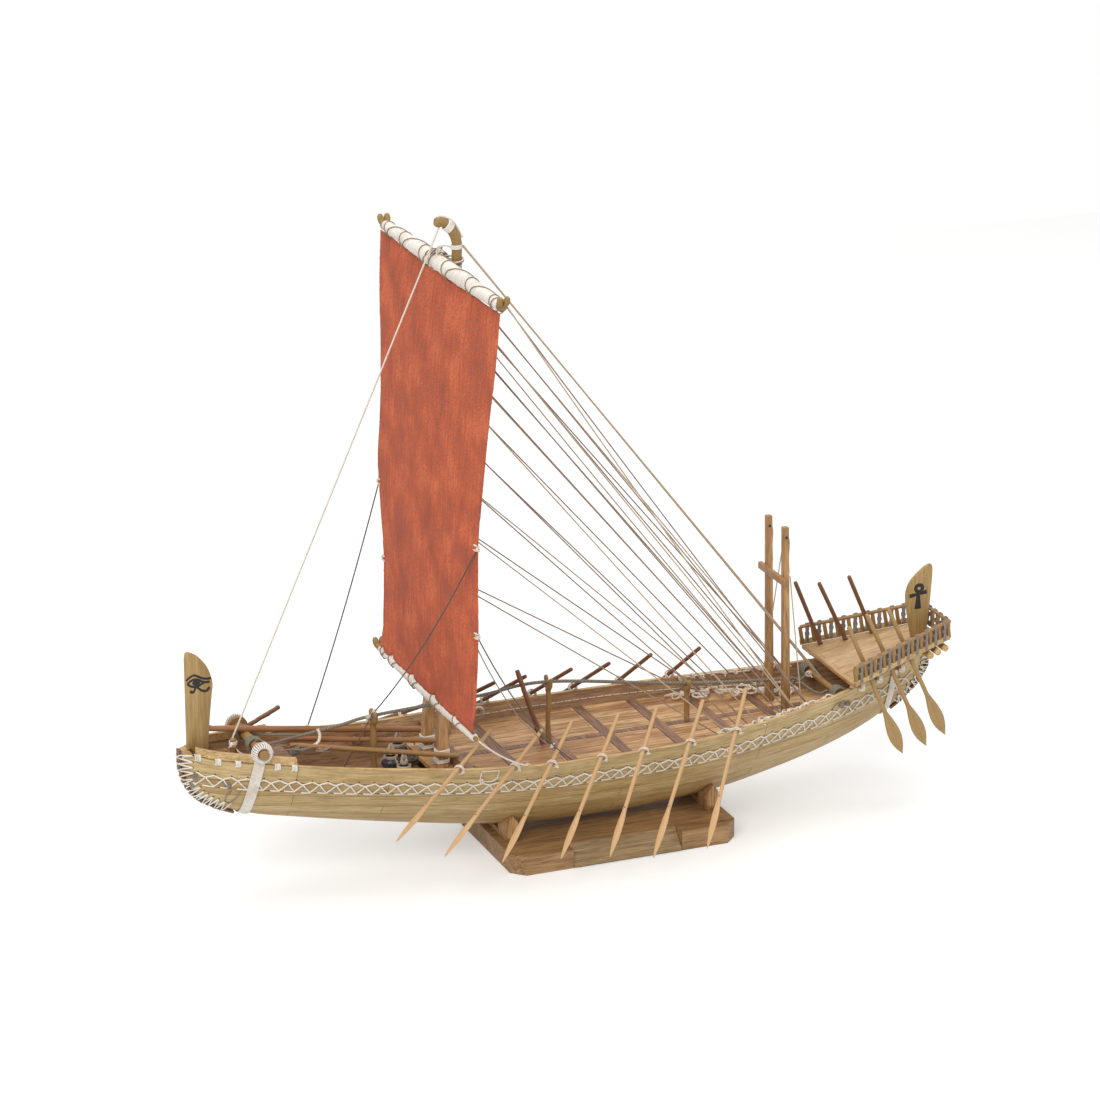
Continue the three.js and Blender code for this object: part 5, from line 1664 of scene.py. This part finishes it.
def buildGrommets():
    # rope rings that hold the looms to the gunwale
    bm = newShape()
    for side in (-1, 1):
        for k in range(7):
            seat, along, _ = oarLine(k, side)
            centre = seat + Vector((0, side * 0.3, -1.2)) + along * 0.4
            axis = along + grommets["lean"]
            for shift in grommets["turns"]:
                place, radius, stretch = centre + along * shift, grommets["radius"], grommets["stretch"]
                sweep(bm, coilPath(place, axis, radius, 1.0, 0.2, 20, stretch=stretch), lashCord, 6)
            addKnot(bm, centre + Vector((2.4, side * 1.1, -1.6)), 0.8, sparCord, 300 + k)
    finishPiece(bm, "oarGrommets", creamCord)


for side, word in hullSides:
    for k in range(7):
        buildRowingOar(k, side, word)
buildGrommets()

steering = {
    # handle end and blade tip of the port oars, then how much longer the starboard looms are and
    # how much further forward they lean
    "rows": [
        ((157.5, 26.5, 122.6), (191, 39.5, 37.6), 16, 6.2),
        ((172.4, 21.5, 127), (210.3, 34, 37.8), 10, 8.6),
        ((188.8, 19, 127), (225, 31, 42), 13, 4.6),
    ],
    "blade": 30,
    # distance from the blade's root, half width and half thickness
    "bladeProfile": [
        (-2, 1.4, 1.4), (0.5, 1.6, 1.3), (3.5, 2.3, 1.15), (7, 3.2, 1.0), (11, 4.0, 0.85), (15, 4.45, 0.75),
        (19, 4.35, 0.66), (22.5, 3.6, 0.58), (25.5, 2.5, 0.5), (28.2, 1.1, 0.4), (30, 0.3, 0.28),
    ],
    "rib": (1.25, 1.75),
}


def buildSteeringOar(k, side, word):
    handle, tip, longer, lean = steering["rows"][k]
    top = Vector((handle[0] - (lean if side > 0 else 0), side * handle[1], handle[2]))
    end = Vector((tip[0], side * tip[1], tip[2]))
    if side > 0:
        top += (top - end).normalized() * longer
    length = (end - top).length
    along = (end - top).normalized()
    root = length - steering["blade"]
    loom = [(0, 0.75, 0.75), (0.3, 1.1, 1.1), (1, 1.35, 1.35), (6, 1.4, 1.4), (root * 0.5, 1.4, 1.4)]
    profile = loom + [(root + d, wide, thick) for d, wide, thick in steering["bladeProfile"]]
    flat = Vector((1, 0, 0))
    bm = newShape()
    path = [top + along * d for d, _, _ in profile]
    sweep(bm, path, [w for _, w, _ in profile], 16, [t for _, _, t in profile], flat, 1000)
    # rib down the middle of the blade
    ribPath = [top + along * (root - 1 + (steering["blade"] - 2) * i / 8) for i in range(9)]
    wide, thick = steering["rib"]
    ribWide = [wide * (1 - 0.8 * i / 8) for i in range(9)]
    ribThick = [thick * (1 - 0.68 * i / 8) for i in range(9)]
    sweep(bm, ribPath, ribWide, 8, ribThick, flat, 1000)
    # painted shade: the starboard steering oars take the darker copy of the oar wood
    wood = steeringWood if side < 0 else darkAndShadedOarWood
    label = f"{word.lower()}_{k + 1}"
    replaces = ["steering_oar_" + label]
    finishPiece(bm, f"steeringOar{word}{k + 1}", wood, "steering_" + label, replaces, 35)


for side, word in hullSides:
    for k in range(3):
        buildSteeringOar(k, side, word)
print("oars shipped")

# Stern rail: posts between two rails, with a lashing in every bay
rail = {
    "front": 157, "back": 230, "frontHalf": 38.2, "backHalf": 17.6, "z": 88, "slope": 0.18,
    "edge": 1.5, "height": 11.8, "pitch": 8, "steps": 20,
    "post": (2.4, 1.9, 0.22),  # width, depth and eased edge
    "top": (1.4, 1.2), "lath": (0.75, 1.9),  # half sizes along and across
}


def platformTop(x):
    return rail["z"] + rail["slope"] * (x - rail["front"])


def platformHalf(x):
    share = (x - rail["front"]) / (rail["back"] - rail["front"])
    return rail["frontHalf"] + (rail["backHalf"] - rail["frontHalf"]) * share


def railCorners():
    front, back = rail["front"], rail["back"] + rail["edge"]
    corner = lambda x, side: Vector((x, side * (platformHalf(x) + rail["edge"]), platformTop(x)))
    return [corner(front, -1), corner(back, -1), corner(back, 1), corner(front, 1)]


def bayTurn(place, along, out, shift):
    # one upright turn of cord from rail to rail, drawn in at the middle
    half, loop = rail["height"] / 2, []
    for j in range(21):
        angle = 2 * math.pi * j / 20
        height = half + 0.75 + (half + 0.95) * math.cos(angle)
        pinch = 1 - 0.45 * math.sin(angle) ** 2
        depth = 1.85 * math.sin(angle) * (0.55 + 0.45 * abs(math.cos(angle)))
        loop.append(place + along * (shift * pinch) + out * (depth + 0.2) + upward * height)
    return loop


def buildRail():
    bm, bottom, lashings = newShape(), newShape(), newShape()
    dice = random.Random(19)
    corners = railCorners()
    height, steps = rail["height"], rail["steps"]
    topWide, topThick = rail["top"]
    lathWide, lathThick = rail["lath"]
    postWide, postDeep, eased = rail["post"]
    for a, b in zip(corners, corners[1:]):
        along = (b - a).normalized()
        out = along.cross(upward).normalized()
        path = []
        for k in range(steps + 1):
            shake = Vector([dice.uniform(-0.12, 0.12) for _ in range(3)])
            path.append(a.lerp(b, k / steps) + upward * height + shake)
        path[0], path[-1] = a + upward * height - along * 0.9, b + upward * height + along * 0.9
        wides = [topWide * dice.uniform(0.92, 1.06) for _ in path]
        sweep(bm, path, wides, 10, [topThick] * len(path), out, 1000)
        # the lower rail is a flat lath on the outer side
        low = [a.lerp(b, k / steps) + upward * 1.1 + out * 0.5 for k in range(steps + 1)]
        low[0], low[-1] = low[0] - along * 0.8, low[-1] + along * 0.8
        sweep(bottom, low, [lathWide] * len(low), 8, [lathThick] * len(low), out, 1000)
        count = round((b - a).length / rail["pitch"])
        turn = along.to_track_quat("X", "Z").to_matrix().to_4x4()
        size = Matrix.Diagonal((postWide, postDeep, height - 0.6, 1))
        for k in range(count + 1):
            centre = a.lerp(b, k / count) + upward * (height / 2 + 0.2)
            made = bmesh.ops.create_cube(bm, size=1, matrix=Matrix.Translation(centre) @ turn @ size)
            easeEdges(bm, edgesOf(made["verts"]), eased, 1)
        for k in range(count):
            place = a.lerp(b, (k + 0.5) / count)
            for turns in (-1, 0, 1):
                shift = turns * 0.95 + dice.uniform(-0.15, 0.15)
                sweep(lashings, bayTurn(place, along, out, shift), lashCord, 6)
            waist = place + upward * (height / 2 + 0.8 + dice.uniform(-0.8, 0.8)) + out * 0.2
            sweep(lashings, coilPath(waist, (0, 0, 1), 1.25, 2.5, 0.8, 10), lashCord, 6)
    finishPiece(bm, "sternRailFrame", rodWood, replaces=["stern_rail"])
    finishPiece(bottom, "sternRailLath", trimWood)
    finishPiece(lashings, "sternRailLashings", mauveCord)


buildRail()

# Front edge of the platform, and the cord ties under it
platformEdge = {"ahead": 0.6, "behind": 1.2, "deep": 2.2, "ties": (164, 178, 196), "tie": 3.3}


def buildPlatformEdge():
    bm = newShape()
    x = rail["front"]
    half, z = platformHalf(x) - 0.4, platformTop(x)
    low = (x - platformEdge["ahead"], -half, z - platformEdge["deep"])
    addBlock(bm, low, (x + platformEdge["behind"], half, z + 0.3), 0.35)
    finishPiece(bm, "platformEdge", edgeWood)
    ties = newShape()
    for side in (-1, 1):
        for k, x in enumerate(platformEdge["ties"]):
            y = side * (platformHalf(x) - 3)
            low = hullAt(x)[1] + 1
            for turn in (-1, 0, 1):
                centre = Vector((x + turn * 0.9, y, low + 1.4))
                sweep(ties, coilPath(centre, (1, 0, 0), platformEdge["tie"], 1, 0.2, 16), lashCord, 6)
            addKnot(ties, (x - 1.5, y + side * 2.6, low + 0.6), 1.3, lashCord, 400 + k)
        addKnot(ties, (160, side * 31, 84.6), 1.6, 0.45, 410 + side)
    finishPiece(ties, "platformTies", creamCord)


buildPlatformEdge()
print("platform railed")

# Small things in the fore part: jars in slings, the bitt, cleats
jars = {
    "places": ((-133, 9), (-131, -9), (-122, 26)), "radius": 6, "height": 10.5, "floor": 58.3,
    # shares of the radius and of the height, from the foot up to the mouth
    "outline": [
        (0.5, 0.0095), (0.85, 0.2), (1, 0.42), (0.97, 0.58), (0.72, 0.76), (0.42, 0.85), (0.4, 0.93), (0.5, 1),
        (0.36, 1),
    ],
    "sling": 0.6,
    "handle": [(-1.1, -1.2), (-1.2, 3), (0, 5.6), (1.2, 3), (1.1, -1.2)],
}


def buildJars():
    bm, slings, handles = newShape(), newShape(), newShape()
    r, h, floor, cord = (jars[key] for key in ("radius", "height", "floor", "sling"))
    outline = [(0.02, 0), *((r * a, h * b) for a, b in jars["outline"]), (0.02, h * 0.94)]
    top = floor + h
    for k, (x, y) in enumerate(jars["places"]):
        curve = smoothPath([(x + a, y, floor + b) for a, b in outline], 3)
        verts = [bm.verts.new(p) for p in curve]
        edges = [bm.edges.new((p, q)) for p, q in zip(verts, verts[1:])]
        turn = {"cent": (x, y, 0), "axis": (0, 0, 1), "angle": 2 * math.pi}
        bmesh.ops.spin(bm, geom=verts + edges, **turn, steps=28, use_merge=True)
        sweep(slings, coilPath((x, y, top - 2.2), (0, 0, 1), r * 0.64, 2, 0.9, 16), cord, 6)
        for j in range(3):
            angle = 2 * math.pi / 3 * j + 0.9 + 0.4 * k
            c, s = math.cos(angle) * r, math.sin(angle) * r
            leg = [(x + c * out, y + s * out, top - drop) for out, drop in ((0.62, 2), (0.97, 4.2), (1.06, 7))]
            addCord(slings, leg, cord, 4)
        addCord(handles, [(x + a, y, top + b) for a, b in jars["handle"]], 0.95, 5, 8)
        sweep(slings, coilPath((x, y, top + 0.6), (0, 0, 1), 2.1, 2, 0.9, 12), 0.5, 6)
    bmesh.ops.remove_doubles(bm, verts=bm.verts[:], dist=0.03)
    finishPiece(bm, "jarBodies", jarClay, replaces=["stone_jars"])
    finishPiece(slings, "jarSlings", tanCord)
    finishPiece(handles, "jarHandles", creamCord)


bittShape = {
    "x": -236, "foot": 87.2,
    # height and half thickness of the turned post
    "turned": (
        (0, 1.8), (0.6, 2.1), (4, 2.05), (6, 2.0), (7.4, 1.6), (8.4, 1.75), (9.4, 2.1), (10, 1.9), (10.4, 1.1),
    ),
    # branches of the forked cleat ahead of it
    "cleat": (
        ([(-254, -6, 87.6), (-249, -6.4, 89.8), (-244.6, -7, 91.2), (-243, -7.4, 94.2)], 1.35),
        ([(-248.8, -8.4, 87.6), (-247, -7.6, 89.4), (-245, -7, 91)], 1.1),
    ),
    "tail": [(0, -2.2, 6.4), (2, -4, 3), (5, -5, 1.2), (9, -6.2, 0.9)],
    "trussCord": [(-226, -12, 99.4), (-219, -10, 96), (-214, -9.5, 88.5)],  # from the truss's end to the deck
}


def buildBitt():
    bm = newShape()
    x, z = bittShape["x"], bittShape["foot"]
    turned = bittShape["turned"]
    sweep(bm, [(x, 0, z + height) for height, _ in turned], [half for _, half in turned], 14, unit=1000)
    addRod(bm, (x, -4.2, z + 5.6), (x, 4.2, z + 5.6), 1.1, 3)
    for stops, thick in bittShape["cleat"]:
        sweep(bm, smoothPath(stops, 4), thick, 10, unit=1000)
    finishPiece(bm, "bittTurned", rodWood, replaces=["bitt"])
    lash = newShape()
    sweep(lash, coilPath((x, 0, z + 7.4), (0, 0, 1), 2.15, 3.5, 0.8, 14), 0.45, 6)
    addKnot(lash, (x - 1.5, -2, z + 6.6), 1.2, lashCord, 70)
    addCord(lash, [(x + a, b, z + c) for a, b, c in bittShape["tail"]], 0.4, 5)
    addCord(lash, bittShape["trussCord"], 0.4, 6)
    finishPiece(lash, "bittLashing", whiteCord)


foreFittings = {
    # hooked cleat on the starboard side of the hold, and the round sleepers beside the mast feet
    "hook": [(-143, 30, 81), (-143.2, 30, 75), (-144.4, 30, 71), (-148.6, 29.6, 70.4), (-149.6, 29.4, 74)],
    "sleeper": (-96, 20, 66.3, -84, 38, 66.5),
    "coils": 10,
}


def buildForeFittings():
    bm = newShape()
    sweep(bm, smoothPath(foreFittings["hook"], 5), 1.6, 10, unit=1000)
    startX, startY, startZ, endX, endY, endZ = foreFittings["sleeper"]
    for side, seed in ((-1, 11), (1, 12)):
        addRod(bm, (startX, side * startY, startZ), (endX, side * endY, endZ), 1.5, seed)
    finishPiece(bm, "foreFittings", rodWood)
    cords = newShape()
    dice = random.Random(23)
    for _ in range(foreFittings["coils"]):
        x, y = -120 + dice.uniform(-4, 8), dice.uniform(8, 30)
        centre = (x, y, 60.5 + dice.uniform(0, 3))
        axis = (dice.uniform(-0.4, 0.4), dice.uniform(-0.4, 0.4), 1)
        sweep(cords, coilPath(centre, axis, dice.uniform(2.4, 4), 1.4, 0.9, 14), 0.5, 6)
    finishPiece(cords, "holdCoils", darkCordAndGapShade)


buildJars()
buildBitt()
buildForeFittings()


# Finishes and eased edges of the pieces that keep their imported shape
keptFinishes = {
    "stand_base": (standWood, 0.5), "name_plate": (bevelWood, 0.25), "fore_cradle": (postWood, 0.4),
    "aft_cradle": (postWood, 0.4), "stem_post": (stemWood, 0.3), "stern_post": (stemWood, 0.3),
    "bow_rail_port": (trimWood, 0.3), "bow_rail_starboard": (trimWood, 0.3),
    "main_deck": (deckWood, 0.15), "deck_beams": (beamWood, 0.2), "foredeck": (foreWood, 0.15),
    "platform_deck": (platformWood, 0.25), "platform_frame": (trimWood, 0.35),
    "bow_pin": (rodWood, 0.4), "truss_pin": (rodWood, 0.3), "mast_leg_port": (mastWood, 0.35),
    "mast_leg_starboard": (mastWood, 0.35),
}
for name, (material, ease) in keptFinishes.items():
    node = cadNodes[name]
    node.data.materials.clear()
    node.data.materials.append(material)
    weld = node.modifiers.new("weld", "WELD")
    weld.merge_threshold = 0.00001
    edge = node.modifiers.new("easedEdge", "BEVEL")
    edge.width = ease * millimetre
    edge.segments = 2
    edge.limit_method = "ANGLE"
    edge.angle_limit = math.radians(32)
    edge.harden_normals = False
print("kept pieces finished")

# Floor, lights and background
studio = {
    "floor": 2400,
    "paper": "#E4E4E3",
    "lift": 0.33,  # how much the paper is raised towards white where the camera sees it
    "air": 0.42,
    # place, size in metres and power of each lamp
    "lamps": {
        "keyLamp": ((-1500, -1500, 1900), 1.5, 40),
        "fillLamp": ((1700, -1400, 900), 1.6, 9),
        "topLamp": ((100, 500, 2300), 2.0, 26),
    },
    "aim": Vector((0, 0, 120)),
}


def seenShare(tree):
    # 1 for a camera or glossy ray
    path = addNode(tree, "LightPath").outputs
    rays = {0: path["Is Camera Ray"], 1: path["Is Glossy Ray"]}
    return addNode(tree, "Math", rays, operation="MAXIMUM")


def buildStudio():
    bm = newShape()
    bmesh.ops.create_grid(bm, x_segments=1, y_segments=1, size=studio["floor"] / 2)
    bmesh.ops.scale(bm, vec=(millimetre,) * 3, verts=bm.verts[:])
    mesh = bpy.data.meshes.new("studioFloor")
    bm.to_mesh(mesh)
    bm.free()
    floor = bpy.data.objects.new("studioFloor", mesh)
    scene.collection.objects.link(floor)
    material = bpy.data.materials.new("studioPaper")
    material.use_nodes = True
    tree = material.node_tree
    tree.nodes.clear()
    paper = addNode(tree, "BsdfDiffuse", {"Color": studio["paper"]})
    lift = addNode(tree, "Emission", {"Color": "#FFFFFF", "Strength": studio["lift"]})
    both = addNode(tree, "AddShader", {0: paper, 1: lift})
    surface = addNode(tree, "MixShader", {0: seenShare(tree), 1: paper, 2: both})
    addNode(tree, "OutputMaterial", {"Surface": surface})
    mesh.materials.append(material)
    floor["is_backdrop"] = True
    world = bpy.data.worlds.new("studioAir")
    world.use_nodes = True
    scene.world = world
    tree = world.node_tree
    tree.nodes.clear()
    strength = addNode(tree, "MapRange", {"Value": seenShare(tree), "To Min": studio["air"], "To Max": 1.0})
    sky = addNode(tree, "Background", {"Color": "#FFFFFF", "Strength": strength})
    addNode(tree, "OutputWorld", {"Surface": sky})
    for name, (place, size, power) in studio["lamps"].items():
        light = bpy.data.lights.new(name, "AREA")
        light.size = size
        light.energy = power
        lamp = bpy.data.objects.new(name, light)
        lamp.location = Vector(place) * millimetre
        lamp.rotation_euler = (studio["aim"] - Vector(place)).to_track_quat("-Z", "Y").to_euler()
        scene.collection.objects.link(lamp)


buildStudio()
print("studio lit")

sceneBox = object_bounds()
{"cad": [list(map(float, corner)) for corner in cadBox], "scene": [list(map(float, corner)) for corner in sceneBox]}
